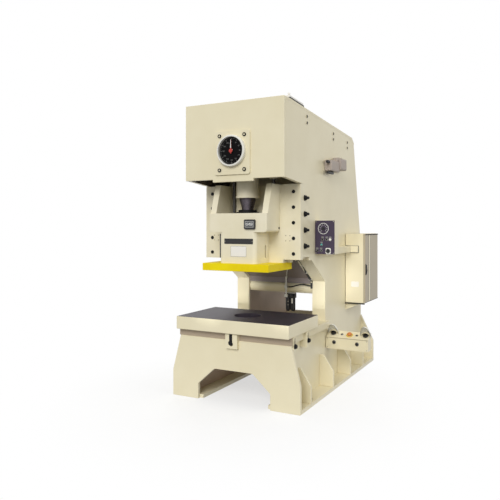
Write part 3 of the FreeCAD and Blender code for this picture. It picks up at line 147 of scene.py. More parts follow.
def rounded_outline(width, height, radius, steps=6):
    """A rectangle about the origin whose corners are quarter circles of a radius."""
    quarter = np.linspace(0, np.pi / 2, steps)
    turns = np.concatenate([quarter + k * np.pi / 2 for k in range(4)])
    signs = np.repeat(np.array([[1, 1], [-1, 1], [-1, -1], [1, -1]]), steps, axis=0)
    inner = np.array([width / 2 - radius, height / 2 - radius])
    return signs * inner + radius * np.stack([np.cos(turns), np.sin(turns)], -1)


def slab(axis, outline, low, high, centre, edge=0.0):
    """A plate: an outline carried from low to high along an axis, drawn in by edge at
    both ends like a small chamfer, and closed by flat ends."""
    outline = np.asarray(outline, float)
    count = len(outline)
    reach = np.abs(outline).max(axis=0)
    inner = outline * (1 - edge / reach)
    if edge:
        rings = [(inner, low), (outline, low + edge), (outline, high - edge), (inner, high)]
    else:
        rings = [(outline, low), (outline, high)]
    points = np.concatenate([along(axis, flat, at) for flat, at in rings]) + np.array(centre)
    return points, capped(len(rings), count)


def joined(*parts):
    """Several (points, faces) as one, with the later faces counted on."""
    points, faces, count = [], [], 0
    for part_points, part_faces in parts:
        part_points = np.asarray(part_points).reshape(-1, 3)
        points.append(part_points)
        faces += [[int(k) + count for k in face] for face in part_faces]
        count += len(part_points)
    return np.concatenate(points), faces


def carried(path, section):
    """A section (u, v) carried along a path. At each point u lies level, square to the
    path, and v completes the square, so the section keeps upright."""
    path = np.asarray(path, float)
    ahead = np.gradient(path, axis=0)
    ahead /= np.linalg.norm(ahead, axis=1)[:, None]
    level = np.cross(ahead, [0.02, 0.03, 1.0])
    level /= np.linalg.norm(level, axis=1)[:, None]
    upper = np.cross(level, ahead)
    section = np.asarray(section, float)
    points = (path[:, None] + section[None, :, 0, None] * level[:, None]
              + section[None, :, 1, None] * upper[:, None])
    rows, count = points.shape[:2]
    return points.reshape(-1, 3), capped(rows, count)


def circle(radius, sides=12):
    """Points of a circle (u, v)."""
    angle = np.linspace(0, 2 * np.pi, sides, endpoint=False)
    return radius * np.stack([np.cos(angle), np.sin(angle)], -1)


def smooth_path(points, count=40):
    """A cable's path: a Catmull-Rom curve through the points, which at each share t
    between two points blends the four nearest by cubic weights."""
    points = np.asarray(points, float)
    ends = np.concatenate([[2 * points[0] - points[1]], points, [2 * points[-1] - points[-2]]])
    spot = np.linspace(0, len(points) - 1, count)
    index = np.minimum(spot.astype(int), len(points) - 2)
    t = (spot - index)[:, None]
    a, b, c, e = (ends[index + k] for k in range(4))
    return 0.5 * (2 * b + (c - a) * t + (2 * a - 5 * b + 4 * c - e) * t ** 2
                  + (3 * b - a - 3 * c + e) * t ** 3)


# ----------------------------------------------------------------- materials

def linear(colour):
    """A colour written as sRGB hex, as the linear value that the shader wants."""
    parts = np.array([int(colour[k:k + 2], 16) for k in (1, 3, 5)]) / 255
    low, high = parts / 12.92, ((parts + 0.055) / 1.055) ** 2.4
    return (*np.where(parts <= 0.04045, low, high), 1.0)


def add(tree, kind, settings=None, **inputs):
    """One node with its settings; an input is a value, or a socket to link from."""
    item = tree.nodes.new(kind)
    for key, value in (settings or {}).items():
        setattr(item, key, value)
    for key, value in inputs.items():
        label = int(key[1:]) if key[1:].isdigit() else key.replace("_", " ")
        socket = item.inputs[label]
        if isinstance(value, bpy.types.NodeSocket):
            tree.links.new(value, socket)
        else:
            socket.default_value = value
    return item


def sums(tree, kind, first, second=0.0, clamp=False):
    """The result of one arithmetic node."""
    return add(tree, "ShaderNodeMath", {"operation": kind, "use_clamp": clamp}, i0=first,
               i1=second).outputs[0]


def mixed(tree, share, first, second):
    """Two shaders mixed by a share of the second."""
    return add(tree, "ShaderNodeMixShader", i0=share, i1=first.outputs[0], i2=second.outputs[0])


def start(name):
    """A new material with its tree, its object coordinates and its output."""
    coat = bpy.data.materials.new(name)
    coat.use_nodes = True
    tree = coat.node_tree
    tree.nodes.clear()
    place = add(tree, "ShaderNodeTexCoord").outputs["Object"]
    return coat, tree, place


def show(tree, shader):
    add(tree, "ShaderNodeOutputMaterial", Surface=shader.outputs[0])


def ramp(tree, source, stops):
    """A colour ramp whose stops are (place, colour)."""
    item = add(tree, "ShaderNodeValToRGB", i0=source)
    handles = item.color_ramp.elements
    while len(handles) < len(stops):
        handles.new(0.5)
    for handle, (spot, colour) in zip(handles, stops):
        handle.position = spot
        handle.color = colour
    return item.outputs["Color"]


def noise(tree, place, size, detail=3.0, rough=0.55):
    """Soft noise whose blotches are about size metres across."""
    return add(tree, "ShaderNodeTexNoise", Vector=place, Scale=1 / size, Detail=detail,
               Roughness=rough).outputs["Fac"]


def scaled(tree, place, scale):
    return add(tree, "ShaderNodeMapping", Vector=place, Scale=scale).outputs["Vector"]


def span(tree, value, low, high):
    """A value from 0 to 1 laid out between low and high."""
    return add(tree, "ShaderNodeMapRange", i0=value, i3=low, i4=high).outputs["Result"]


def skin(tree, colour, tone, rough, height, lift, strength, **more):
    """A surface whose roughness follows a tone, over bumps of a height."""
    bump = add(tree, "ShaderNodeBump", Strength=strength, Distance=lift, Height=height)
    return add(tree, "ShaderNodeBsdfPrincipled", Base_Color=colour,
               Roughness=span(tree, tone, *rough), Normal=bump.outputs["Normal"], **more)


# slow waves of a sprayed coat: metres across, and how high against its fine peel
WAVE_SIZE, WAVE_SHARE = 0.09, 2.5


def paint(tree, place, colour, deep, size=0.6, gloss=(0.30, 0.42), peel=0.0035, lift=0.0004,
          sheen=0.5):
    """Sprayed enamel: broad, faint changes of tone, and the fine peel of a sprayed coat,
    whose cells are a few millimetres across."""
    tone = noise(tree, place, size, 4)
    colour = ramp(tree, tone, [(0.32, linear(deep)), (0.62, linear(colour))])
    cells = noise(tree, place, peel, 2)
    waves = noise(tree, place, WAVE_SIZE, 2)
    height = sums(tree, "ADD", cells, sums(tree, "MULTIPLY", waves, WAVE_SHARE))
    return skin(tree, colour, tone, gloss, height, lift, 0.25, IOR=1.5,
                Specular_IOR_Level=sheen)


def sprayed(tree, place, colour, *look):
    """Enamel in one of the colours that are set for the press."""
    colours = bpy.context.scene.press_paint
    return paint(tree, place, hex_of(getattr(colours, colour)),
                 hex_of(getattr(colours, colour + "_deep")), *look)


def enamel(name, *look):
    """Enamel all over a part."""
    coat, tree, place = start(name)
    show(tree, sprayed(tree, place, *look))
    return coat


def oiled_steel_shader(tree, place, light, dark):
    """Surface-ground steel under a film of oil: dark, with fine lines along X and a few
    cloudy wipes. Real lines are 0.1 mm apart; they are drawn 2 mm apart to show."""
    lines = noise(tree, scaled(tree, place, (2.0, 500.0, 500.0)), 1.0, 2)
    wipes = noise(tree, place, 0.18, 5, 0.62)
    colour = ramp(tree, wipes, [(0.3, linear(dark)), (0.7, linear(light))])
    return skin(tree, colour, wipes, (0.46, 0.66), lines, 0.0003, 0.2, Metallic=0.25,
                Specular_IOR_Level=0.2)


# just wider than the bolster's bore; where the crown begins; just outside the side
# plates' inner faces
BORE_REACH = 0.156
CROWN_LOW = 0.66
INNER_FACE = 0.5615


def bolster_finish():
    """A bolster: its ground and oiled top is dark, its bore is dark too as bare steel and
    painted shade, and its sides are enamelled."""
    coat, tree, place = start("bolster_ground_and_enamelled")
    sides = sprayed(tree, place, "cream")
    top = oiled_steel_shader(tree, place, "#3E373F", "#262128")
    facing = add(tree, "ShaderNodeNewGeometry").outputs["Normal"]
    rise = add(tree, "ShaderNodeSeparateXYZ", Vector=facing).outputs["Z"]
    level = sums(tree, "GREATER_THAN", rise, 0.7)
    flat = scaled(tree, place, (1, 1, 0))
    reach = add(tree, "ShaderNodeVectorMath", {"operation": "LENGTH"}, i0=flat).outputs["Value"]
    # painted shade: the bore's walls take the top's dark steel colour
    bored = sums(tree, "LESS_THAN", reach, BORE_REACH)
    show(tree, mixed(tree, sums(tree, "MAXIMUM", level, bored), sides, top))
    return coat


def side_plate_finish():
    """A side plate: enamel outside, and painted shade on its inner face: a browner tint low down,
    and dark inside the crown.
    """
    coat, tree, place = start("cream_enamel_over_primer")
    outside = sprayed(tree, place, "cream")
    # painted shade: below the crown the inner face takes a browner tint
    lower = paint(tree, place, "#CDB9A5", "#BCA893", 0.5, (0.5, 0.65))
    # painted shade: inside the crown the inner face is painted dark
    upper = paint(tree, place, "#5A5048", "#453D37", 0.4, (0.3, 0.5))
    split = add(tree, "ShaderNodeSeparateXYZ", Vector=place).outputs
    inside = mixed(tree, sums(tree, "GREATER_THAN", split["Z"], CROWN_LOW), lower, upper)
    reach = sums(tree, "ABSOLUTE", split["X"])
    show(tree, mixed(tree, sums(tree, "LESS_THAN", reach, INNER_FACE), outside, inside))
    return coat


def metal(name, light, dark, rough, size=0.02, stretch=(1, 1, 1), lift=0.0002, metallic=1.0,
          sheen=0.5):
    """A bare metal: tone and roughness change with one noise, and its marks run the way
    that the tool went."""
    coat, tree, place = start(name)
    streaks = noise(tree, scaled(tree, place, stretch), size, 4)
    colour = ramp(tree, streaks, [(0.3, linear(dark)), (0.7, linear(light))])
    show(tree, skin(tree, colour, streaks, rough, streaks, lift, 0.3, Metallic=metallic,
                    Specular_IOR_Level=sheen))
    return coat


def moulded(name, light, dark, rough, size=0.004, lift=0.0001, sheen=0.5):
    """A moulded plastic or rubber: plain colour under a fine satin grain."""
    coat, tree, place = start(name)
    grain = noise(tree, place, size, 2)
    colour = ramp(tree, grain, [(0.2, linear(dark)), (0.8, linear(light))])
    show(tree, skin(tree, colour, grain, rough, grain, lift, 0.25, IOR=1.5,
                    Specular_IOR_Level=sheen))
    return coat


def hex_of(colour):
    """A colour property, which holds sRGB shares, written as hex."""
    return "#" + "".join(f"{round(255 * share):02X}" for share in colour[:3])


# each finish: its maker, its name and its look, in the order of the maker's inputs
LOOKS = {
    # two-pack machine enamel on welded plate: even, half gloss, slight peel
    "cream": (enamel, "cream_enamel", "cream"),
    # the same enamel on cast iron: filler and sand grain show as a coarser peel
    "cast": (enamel, "cast_enamel", "cast", 0.35, (0.34, 0.48), 0.006, 0.0009),
    # signal yellow over machined steel, nearly satin
    "yellow": (enamel, "safety_yellow_enamel", "yellow", 0.3, (0.45, 0.58), 0.004, 0.0003, 0.22),
    "bolster": (bolster_finish,),
    "side_plate": (side_plate_finish,),
    # black oxide on screws and the ball's cap: near black, with a soft sheen
    "black_steel": (metal, "black_oxide_steel", "#171718", "#0C0C0D", (0.48, 0.62), 0.02,
                    (1, 1, 1), 0.0002, 0.05, 0.2),
    # the turned screw is wiped with grease, so its bands look bluish grey
    "screw_steel": (metal, "greased_turned_steel", "#6E676D", "#3C373B", (0.34, 0.5), 0.02,
                    (1, 1, 6)),
    "bright_steel": (metal, "turned_bright_steel", "#C9C8C6", "#8F8E8C", (0.18, 0.32), 0.03),
    # sand-cast iron, machined where it runs: dark grey and dull
    "iron": (metal, "machined_cast_iron", "#6F6E6C", "#4A4948", (0.4, 0.6), 0.01),
    "bronze": (metal, "turned_bronze", "#B08D4C", "#7C5F2E", (0.25, 0.4)),
    "aluminium": (metal, "cast_aluminium", "#A9A9A6", "#7F7F7D", (0.38, 0.55), 0.006),
    "zinc": (metal, "zinc_plated_steel", "#C6C3B6", "#9A978C", (0.22, 0.36), 0.015),
    "dark_plug": (metal, "blued_steel_plugs", "#4A463F", "#33302B", (0.4, 0.55), 0.02, (1, 1, 1),
                  0.0002, 0.6),
    "rubber": (moulded, "black_rubber", "#232323", "#161616", (0.55, 0.75)),
    "black_plastic": (moulded, "black_abs", "#1E1E20", "#121213", (0.3, 0.45)),
    "white_plastic": (moulded, "white_abs", "#EDEBE2", "#E0DED4", (0.3, 0.42)),
    "motor_grey": (moulded, "grey_motor_enamel", "#6E7A7C", "#566163", (0.35, 0.5), 0.01, 0.0003),
    "panel": (moulded, "plum_panel_enamel", "#473C50", "#392F41", (0.4, 0.52), 0.004, 0.0001, 0.3),
    "red": (moulded, "red_abs", "#C23A2E", "#A42B22", (0.22, 0.34)),
    "teal": (moulded, "teal_lens", "#3FA6A0", "#2B827D", (0.15, 0.25)),
    "orange": (moulded, "orange_abs", "#D98A4A", "#BE7236", (0.22, 0.34)),
    "knob_yellow": (moulded, "yellow_abs", "#E7C61E", "#CFAF12", (0.22, 0.34)),
    # thin sheet plates, enamelled and stoved: satin, with a faint grain
    "black_plate": (moulded, "black_stoved_sheet", "#1A1919", "#111010", (0.3, 0.42), 0.003),
    "white_plate": (moulded, "white_stoved_sheet", "#F1EEE6", "#E6E2D8", (0.3, 0.42), 0.003),
    "dial_black": (moulded, "black_dial_enamel", "#0B0A0B", "#060506", (0.6, 0.75), 0.002, 0.0001,
                   0.08),
    "drum_dark": (moulded, "dark_counter_drums", "#3B3D42", "#2B2D31", (0.3, 0.42), 0.002),
    "figure_white": (moulded, "printed_white", "#EFEFEA", "#DEDED8", (0.4, 0.5), 0.002),
    "figure_dim": (moulded, "printed_grey", "#7C7C78", "#666663", (0.5, 0.6), 0.002),
    "door_brown": (moulded, "taupe_door_enamel", "#B2A78E", "#A69A81", (0.35, 0.5)),
    "valve_taupe": (moulded, "valve_casting_enamel", "#AFA398", "#9C9086", (0.45, 0.6)),
    # a darker tan: the console's joint line, small domes on the gibs, and painted shade that stands
    # for the bed's side slots
    "filler": (moulded, "faired_filler", "#B3A98C", "#A2987C", (0.5, 0.65)),
    # painted shade: a brown tan on the bed plate's recess under the bolster, and a darker brown
    # grey on the plate under the crown
    "primer": (moulded, "primer_coat", "#B1A18C", "#A3937E", (0.5, 0.65)),
    "oily_primer": (moulded, "oily_primer_coat", "#8F8480", "#7C716D", (0.35, 0.5)),
    # dark joint lines, and painted shadow under the cabinet, the duct and the door's top edge
    "dark_joint_and_shadow": (moulded, "dark_felt_liner", "#26231F", "#191714", (0.8, 0.95), 0.003),
}
MADE = {}


def finish(name):
    """A finish by its short name, made once."""
    if name not in MADE:
        maker, *look = LOOKS[name]
        MADE[name] = maker(*look)
    return MADE[name]


# ----------------------------------------------------------- sizes and colours

def colour_setting(name, description, value):
    shares = [int(value[k:k + 2], 16) / 255 for k in (1, 3, 5)]
    return FloatVectorProperty(name=name, description=description, subtype="COLOR_GAMMA",
                               size=3, min=0, max=1, default=shares)


def length_setting(name, description, value):
    return FloatProperty(name=name, description=description, subtype="DISTANCE",
                         unit="LENGTH", min=0, default=value)


class PressPaint(bpy.types.PropertyGroup):
    """Colours of the enamels, as sRGB."""
    cream: colour_setting("Cream", "Enamel on the welded frame", "#E6DDBE")
    cream_deep: colour_setting("Deep cream", "The frame's enamel where it is thickest", "#E0D6B5")
    cast: colour_setting("Casting cream", "Enamel on the slide and gibs", "#E8E0C6")
    cast_deep: colour_setting("Deep casting cream", "Casting enamel in its hollows", "#E0D7B8")
    yellow: colour_setting("Yellow", "Enamel on the slide plate", "#EED900")
    yellow_deep: colour_setting("Deep yellow", "Slide plate where the coat is thick", "#E2C600")


class PressEdges(bpy.types.PropertyGroup):
    """How far edges are broken."""
    plate: length_setting("Plate edge", "Radius on the edges of welded plates", 0.004)
    casting: length_setting("Casting edge", "Radius on the edges of castings", 0.008)
    steps: IntProperty(name="Edge steps", description="Facets across a rounded edge",
                       min=1, max=6, default=3)


class PressStage(bpy.types.PropertyGroup):
    """Camera and light of the studio."""
    camera_x: length_setting("Camera X", "Camera to the right of the ram", 2.992)
    camera_back: length_setting("Camera distance", "Camera in front of the ram's axis", 5.597)
    camera_z: length_setting("Camera Z", "Camera above the bolster", 0.996)
    camera_turn: FloatProperty(name="Camera turn", description="Turn to the left of straight back",
                               subtype="ANGLE", unit="ROTATION", default=0.488)
    lens: FloatProperty(name="Lens", description="Focal length for a 36 mm sensor", min=10,
                        default=40.63)
    shift_x: FloatProperty(name="Shift X", description="Lens shift across", default=0.0012)
    shift_y: FloatProperty(name="Shift Y", description="Lens shift up", default=-0.0465)


# ------------------------------------------------------------ small hardware

def put(name, parts, finish_name, body="frame", smooth=True, angle=35):
    """One object from several (points, faces)."""
    points, faces = joined(*parts)
    return piece(name, points, faces, finish(finish_name), body, smooth, angle)


def socket_head(axis, spot, radius, high, sides=24):
    """A cap screw's head: rings of a circle, then of a hexagon for its socket. The
    hexagon's radius at an angle is its flat's distance over the cosine to that flat."""
    angle = np.linspace(0, 2 * np.pi, sides, endpoint=False)
    hexagon = math.cos(math.pi / 6) / np.cos(angle % (math.pi / 3) - math.pi / 6)
    edge, key = 0.12 * radius, 0.55 * radius
    side = math.copysign(1, high)
    rings = [(0, 0, 0), (radius, 0, 0), (radius, high - side * edge, 0), (radius - edge, high, 0),
             (key * 1.16, high, 0), (key, high - side * edge / 2, 1),
             (key, high - side * 0.6 * abs(high), 1), (0, high - side * 0.6 * abs(high), 0)]
    reach = np.array([[row[0]] for row in rings]) * np.where(
        np.array([[row[2]] for row in rings]) == 1, hexagon, 1.0)
    flat = np.stack([reach * np.cos(angle), reach * np.sin(angle)], -1)
    distance = np.array([[row[1]] for row in rings])
    points = along(axis, flat, distance) + np.array(spot)
    return points.reshape(-1, 3), grid_faces(len(rings), sides, True).tolist()


def marks(angles, inner, outer, width, low, high, centre):
    """Dial marks facing the front: narrow slabs from an inner to an outer radius, each
    turned by its angle from the top, clockwise."""
    parts = []
    for turn in angles:
        ahead = np.array([math.cos(turn), math.sin(turn)])
        level = np.array([-ahead[1], ahead[0]]) * width / 2
        outline = np.array([ahead * inner - level, ahead * outer - level,
                            ahead * outer + level, ahead * inner + level])
        parts.append(slab("Y", outline, low, high, centre))
    return parts


def figures(rows, depth=0.0003):
    """Plain numerals facing the front, as (text, x, y, z, height): flat outlines of the
    built-in type, thickened by depth."""
    parts = []
    for text, x, y, z, height in rows:
        curve = bpy.data.curves.new("numeral", "FONT")
        curve.body = text
        curve.size = height * 1.35
        curve.align_x = "CENTER"
        curve.align_y = "CENTER"
        curve.extrude = depth
        carrier = bpy.data.objects.new("numeral", curve)
        mesh = bpy.data.meshes.new_from_object(carrier)
        flat = np.empty(len(mesh.vertices) * 3)
        mesh.vertices.foreach_get("co", flat)
        flat = flat.reshape(-1, 3)
        points = np.stack([x + flat[:, 0], y - flat[:, 2], z + flat[:, 1]], -1)
        parts.append((points, [list(face.vertices) for face in mesh.polygons]))
        bpy.data.objects.remove(carrier)
        bpy.data.meshes.remove(mesh)
        bpy.data.curves.remove(curve)
    return parts


def box(x, y, z, edge=0.0):
    """A block between two corners, with its edges along Y broken by a chamfer."""
    centre = ((x[0] + x[1]) / 2, 0, (z[0] + z[1]) / 2)
    half = np.array([z[1] - z[0], x[1] - x[0]]) / 2
    outline = half * np.array([[1, 1], [-1, 1], [-1, -1], [1, -1]])
    return slab("Y", outline, y[0], y[1], centre, edge)


def ring(axis, spot, inner, outer, high, edge=0.001, sides=48):
    """A flat ring that stands high off a face, with its outer edges rounded a little."""
    side = math.copysign(1, high)
    profile = [(inner, 0), (outer, 0), (outer, high - side * edge), (outer - edge, high),
               (inner + edge, high), (inner, high - side * edge), (inner, 0)]
    return turned(axis, profile, spot, sides)


def disc(axis, spot, radius, high, edge=0.0006, sides=48):
    """A round plate that stands high off a face."""
    side = math.copysign(1, high)
    profile = [(0, 0), (radius, 0), (radius, high - side * edge), (radius - edge, high), (0, high)]
    return turned(axis, profile, spot, sides)


def card(wide, tall, corner, back, front, x, z, edge=0.0):
    """A rounded plate that faces the front, between two depths, about (x, z)."""
    return slab("Y", rounded_outline(tall, wide, corner), front, back, (x, 0, z), edge)


def rivet(spot, radius, upper, shoulder, high, sides):
    """A low domed head that faces the front."""
    return turned("Y", [(0, 0), (radius, 0), (upper, -shoulder), (0, -high)], spot, sides)


def knob(axis, spot, foot, waist, top, high, sides):
    """A round knob: its foot, its waist (radius, height) and its top at a height."""
    return turned(axis, [(0, 0), (foot, 0), waist, (top, high), (0, high)], spot, sides)


def grid(across, up):
    """Each pair of a place across and a place up, as (x, z)."""
    return [(x, z) for x in across for z in up]


# ------------------------------------------------------------ finishes of the parts

COATS = {
    "cream": """throat_lining_left throat_lining_right crown_front_plate crown_roof
        crank_bearing_plate pinion_bearing_plate bed_front_plate bed_plate bed_rear_plate
        foot_left foot_right foot_gussets cabinet cable_duct panel_box console_box rear_guard
        air_tank dial_cover counterbalance_cylinders""",
    "cast": "gib_left gib_right slide connecting_rod",
    "side_plate": "side_plate_left side_plate_right",
    "bolster": "bolster",
    "yellow": "slide_plate",
    "black_steel": "ball_cap gib_screws",
    "screw_steel": "adjusting_screw",
    "bright_steel": "crankshaft pinion_shaft",
    "iron": "counterbalance_rods main_gear flywheel motor_pulley",
    "bronze": "shaft_bushes",
    "motor_grey": "motor",
    "rubber": "drive_belts",
    "valve_taupe": "clutch_valve",
    "black_plastic": """height_counter key_switch mode_knob_left mode_knob_right air_unit
        run_button stop_button palm_button_left palm_button_right console_button_left
        console_button_right""",
    "red": "dial_pointer",
    "white_plastic": "dial_bezel air_pipe",
    "panel": "panel_face",
    "orange": "emergency_stop",
    "door_brown": "cabinet_door",
}
CAST = COATS["cast"].split()
SOFTENED = [*COATS["cream"].split(), *CAST, "cabinet_door", "side_plate_left",
            "side_plate_right", "bolster", "slide_plate", "clutch_valve"]
LARGE_EDGES = set(CAST) | {"bolster"}


def dress(node, name):
    """Give a part its finish."""
    item = NODES[node]
    item.data.materials.clear()
    item.data.materials.append(finish(name))


# the slide's box: its side and front faces, and the heights between which its upright
# front corners are round
BOX_SIDE, SLIDE_FACE = 0.356, -0.244
CORNER_LOW, CORNER_HIGH, CORNER_RADIUS = 0.938, 1.143, 0.028
# how far in from the side face the weights reach, over what height they fade out, and
# how near a point counts as on a face or at an end
CORNER_BAND, CORNER_FADE = 0.0305, 0.012
ON_FACE, AT_END = 0.0005, 0.001
# degrees: faces that turn less are one face, and edges that turn more are rounded
FLAT_TURN, EDGE_TURN = 0.6, 28
WELD_REACH = 1e-5


def corner_weights():
    """Node group that marks the edges of the slide box's upright front corners, with
    weights that fade out below, where the casting's outline turns in."""
    group = bpy.data.node_groups.new("corner_weights", "GeometryNodeTree")
    for way in ("INPUT", "OUTPUT"):
        group.interface.new_socket("Geometry", in_out=way, socket_type="NodeSocketGeometry")
    where = add(group, "GeometryNodeInputPosition").outputs[0]
    x, y, z = add(group, "ShaderNodeSeparateXYZ", i0=where).outputs
    side = sums(group, "GREATER_THAN", sums(group, "ABSOLUTE", x), BOX_SIDE - CORNER_BAND)
    front = sums(group, "LESS_THAN", y, SLIDE_FACE + ON_FACE)
    under = sums(group, "LESS_THAN", z, CORNER_HIGH - AT_END)
    above = sums(group, "SUBTRACT", z, CORNER_LOW - AT_END)
    fade = sums(group, "MULTIPLY", above, 1 / CORNER_FADE, clamp=True)
    weight = sums(group, "MULTIPLY", sums(group, "MULTIPLY", side, front),
                  sums(group, "MULTIPLY", under, fade))
    store = add(group, "GeometryNodeStoreNamedAttribute",
                {"data_type": "FLOAT", "domain": "EDGE"}, Name="bevel_weight_edge", Value=weight,
                Geometry=add(group, "NodeGroupInput").outputs[0])
    add(group, "NodeGroupOutput", Geometry=store.outputs[0])
    return group


def cast_corners(item):
    """Round the slide box's two upright front corners."""
    weights = item.modifiers.new("corner_weights", "NODES")
    weights.node_group = corner_weights()
    corner = item.modifiers.new("cast_corners", "BEVEL")
    corner.limit_method = "WEIGHT"
    corner.width = CORNER_RADIUS
    corner.segments = 8


def soften(node, width, steps):
    """Break a part's sharp edges: its triangles are joined, its flat faces made whole,
    and each edge that turns by more than EDGE_TURN gets a narrow round."""
    item = NODES[node]
    weld = item.modifiers.new("join", "WELD")
    weld.merge_threshold = WELD_REACH
    flat = item.modifiers.new("whole_faces", "DECIMATE")
    flat.decimate_type = "DISSOLVE"
    flat.angle_limit = math.radians(FLAT_TURN)
    if node == "slide":
        cast_corners(item)
    edge = item.modifiers.new("broken_edges", "BEVEL")
    edge.width = width
    edge.segments = steps
    edge.limit_method = "ANGLE"
    edge.angle_limit = math.radians(EDGE_TURN)
    # large flat faces keep flat shading beside the narrow rounds
    shading = item.modifiers.new("flat_faces", "WEIGHTED_NORMAL")
    shading.mode = "FACE_AREA"
    shading.weight = 100
    item.data.shade_smooth()


class PRESS_OT_parts(bpy.types.Operator):
    """Finish of every steel part, with its edges broken"""
    bl_idname = "press.parts"
    bl_label = "Parts"

    def execute(self, context):
        edges = context.scene.press_edges
        for name, nodes in COATS.items():
            for node in nodes.split():
                dress(node, name)
        for node in SOFTENED:
            width = edges.casting if node in LARGE_EDGES else edges.plate
            soften(node, width, edges.steps)
        return {"FINISHED"}


# ---------------------------------------------------------------- slide and gibs

GIB_FACE = 0.09
SCREW_BALL = 0.112
CAP_SEAT = 1.103
SCREW_COVE = (1.196, 1.292)
SCREW_THREAD_TOP = 1.400
THREAD_PITCH = 0.010
GIB_SCREW_X = 0.52
GIB_SCREW_Z = [0.698 + 0.171 * k for k in range(5)]
# middles (x, z) of the two bare plates on the slide's face
DARK_PLATE, PALE_PLATE = (0.0165, 0.8375), (0.016, 0.728)


class PRESS_OT_gib_screws(bpy.types.Operator):
    """Socket screws and rivets on the two gibs"""
    bl_idname = "press.gib_screws"
    bl_label = "Gib screws"

    def execute(self, context):
        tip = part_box("gib_screws")[0][1]
        heads = [socket_head("Y", (x, GIB_FACE, z), 0.020, tip - GIB_FACE, 30)
                 for x, z in grid((-GIB_SCREW_X, GIB_SCREW_X), GIB_SCREW_Z)]
        item = put("gib_socket_screws", heads, "black_steel")
        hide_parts("gib_screws")
        rivets = [rivet((x, GIB_FACE, z), 0.0068, 0.0060, 0.0014, 0.0020, 16)
                  for x, z in grid((-0.437, -0.493, 0.427, 0.477), (0.841, 0.898))]
        put("gib_rivets", rivets, "filler")
        # a dark strip along the left gib's inner edge
        put("gib_wiper", [box((-0.4160, -0.3985), (0.0825, 0.0902), (0.634, 0.914), 0.0015)],
            "rubber")
        return {"FINISHED"}


class PRESS_OT_screw(bpy.types.Operator):
    """Adjusting screw with its thread and neck, and the stepped cap over its ball"""
    bl_idname = "press.screw"
    bl_label = "Adjusting screw"

    def execute(self, context):
        low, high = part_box("adjusting_screw")
        ball, centre = SCREW_BALL, low[2] + SCREW_BALL
        neck, thread = 0.066, 0.0915
        root = thread - 0.004
        start_angle = math.asin(neck / ball)
        profile = [(ball * math.sin(a), centre - ball * math.cos(a))
                   for a in np.linspace(0, math.pi - start_angle, 24)]
        profile.append((neck, SCREW_COVE[0]))
        # the thread runs out down the cone, so its rings get shallower
        for share in np.linspace(0, 1, 9)[1:]:
            radius = neck + (thread - neck) * share
            height = SCREW_COVE[0] + (SCREW_COVE[1] - SCREW_COVE[0]) * share
            profile += [(radius - 0.0030, height - 0.0022), (radius, height)]
        # a trapezoidal thread, drawn as rings that are one pitch apart
        z = SCREW_COVE[1]
        while z + THREAD_PITCH < SCREW_THREAD_TOP:
            profile += [(thread, z + 0.35 * THREAD_PITCH), (root, z + 0.5 * THREAD_PITCH),
                        (root, z + 0.85 * THREAD_PITCH), (thread, z + THREAD_PITCH)]
            z += THREAD_PITCH
        profile += [(thread, high[2] - 0.002), (thread - 0.002, high[2]), (0, high[2])]
        screw = put("adjusting_screw_turned", [turned("Z", profile, (0, 0, 0), 72)], "screw_steel",
                    BODY_OF["adjusting_screw"], angle=50)
        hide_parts("adjusting_screw")
        low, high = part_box("ball_cap")
        inner, skirt, outer = 0.098, 0.1175, high[0]
        step = high[2] - 0.030
        profile = [(inner, low[2]), (skirt, low[2]), (skirt, CAP_SEAT), (outer, CAP_SEAT),
                   (outer, step - 0.004), (outer - 0.004, step), (0.106, step),
                   (0.106, high[2] - 0.005), (0.101, high[2]), (0.076, high[2]), (0.072, step),
                   (inner, step - 0.030), (inner, low[2])]
        cap = put("ball_cap_turned", [turned("Z", profile, (0, 0, 0), 72)], "black_steel",
                  BODY_OF["ball_cap"], angle=40)
        heads = [socket_head("Z", (skirt * math.cos(a), skirt * math.sin(a), step), 0.0085, 0.006,
                             16)
                 for a in np.radians(np.arange(30, 360, 60))]
        put("ball_cap_screws", heads, "black_steel", BODY_OF["ball_cap"])
        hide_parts("ball_cap")
        return {"FINISHED"}


class PRESS_OT_slide_plates(bpy.types.Operator):
    """Bare plates, counter window and small screws on the slide's face"""
    bl_idname = "press.slide_plates"
    bl_label = "Slide plates"

    def execute(self, context):
        face = SLIDE_FACE
        # the dark plate carries nothing: its lettering is left off
        put("slide_dark_plate", [card(0.355, 0.059, 0.006, face - 0.0002, face - 0.0022,
                                      *DARK_PLATE, 0.0006)], "black_plate", "slide")
        put("slide_pale_plate", [card(0.196, 0.116, 0.008, face - 0.0002, face - 0.0018,
                                      *PALE_PLATE, 0.0005)], "white_plate", "slide")
        x, z = PALE_PLATE
        rim = rounded_outline(0.112, 0.192, 0.007)
        path = np.stack([x + rim[:, 1], np.full(len(rim), face - 0.0019), z + rim[:, 0]], -1)
        put("slide_pale_plate_rim", [carried(np.vstack([path, path[:1]]), circle(0.0012, 6))],
            "figure_dim", "slide")
        put("slide_plate_pins", [rivet((x, face - 0.0022, DARK_PLATE[1]), 0.004, 0.0034, 0.0014,
                                       0.002, 12) for x in (-0.152, 0.185)], "zinc", "slide")
        put("slide_side_screw", [socket_head("X", (BOX_SIDE, 0.064, 0.982), 0.011, 0.006, 24)],
            "black_steel", "slide")
        return {"FINISHED"}


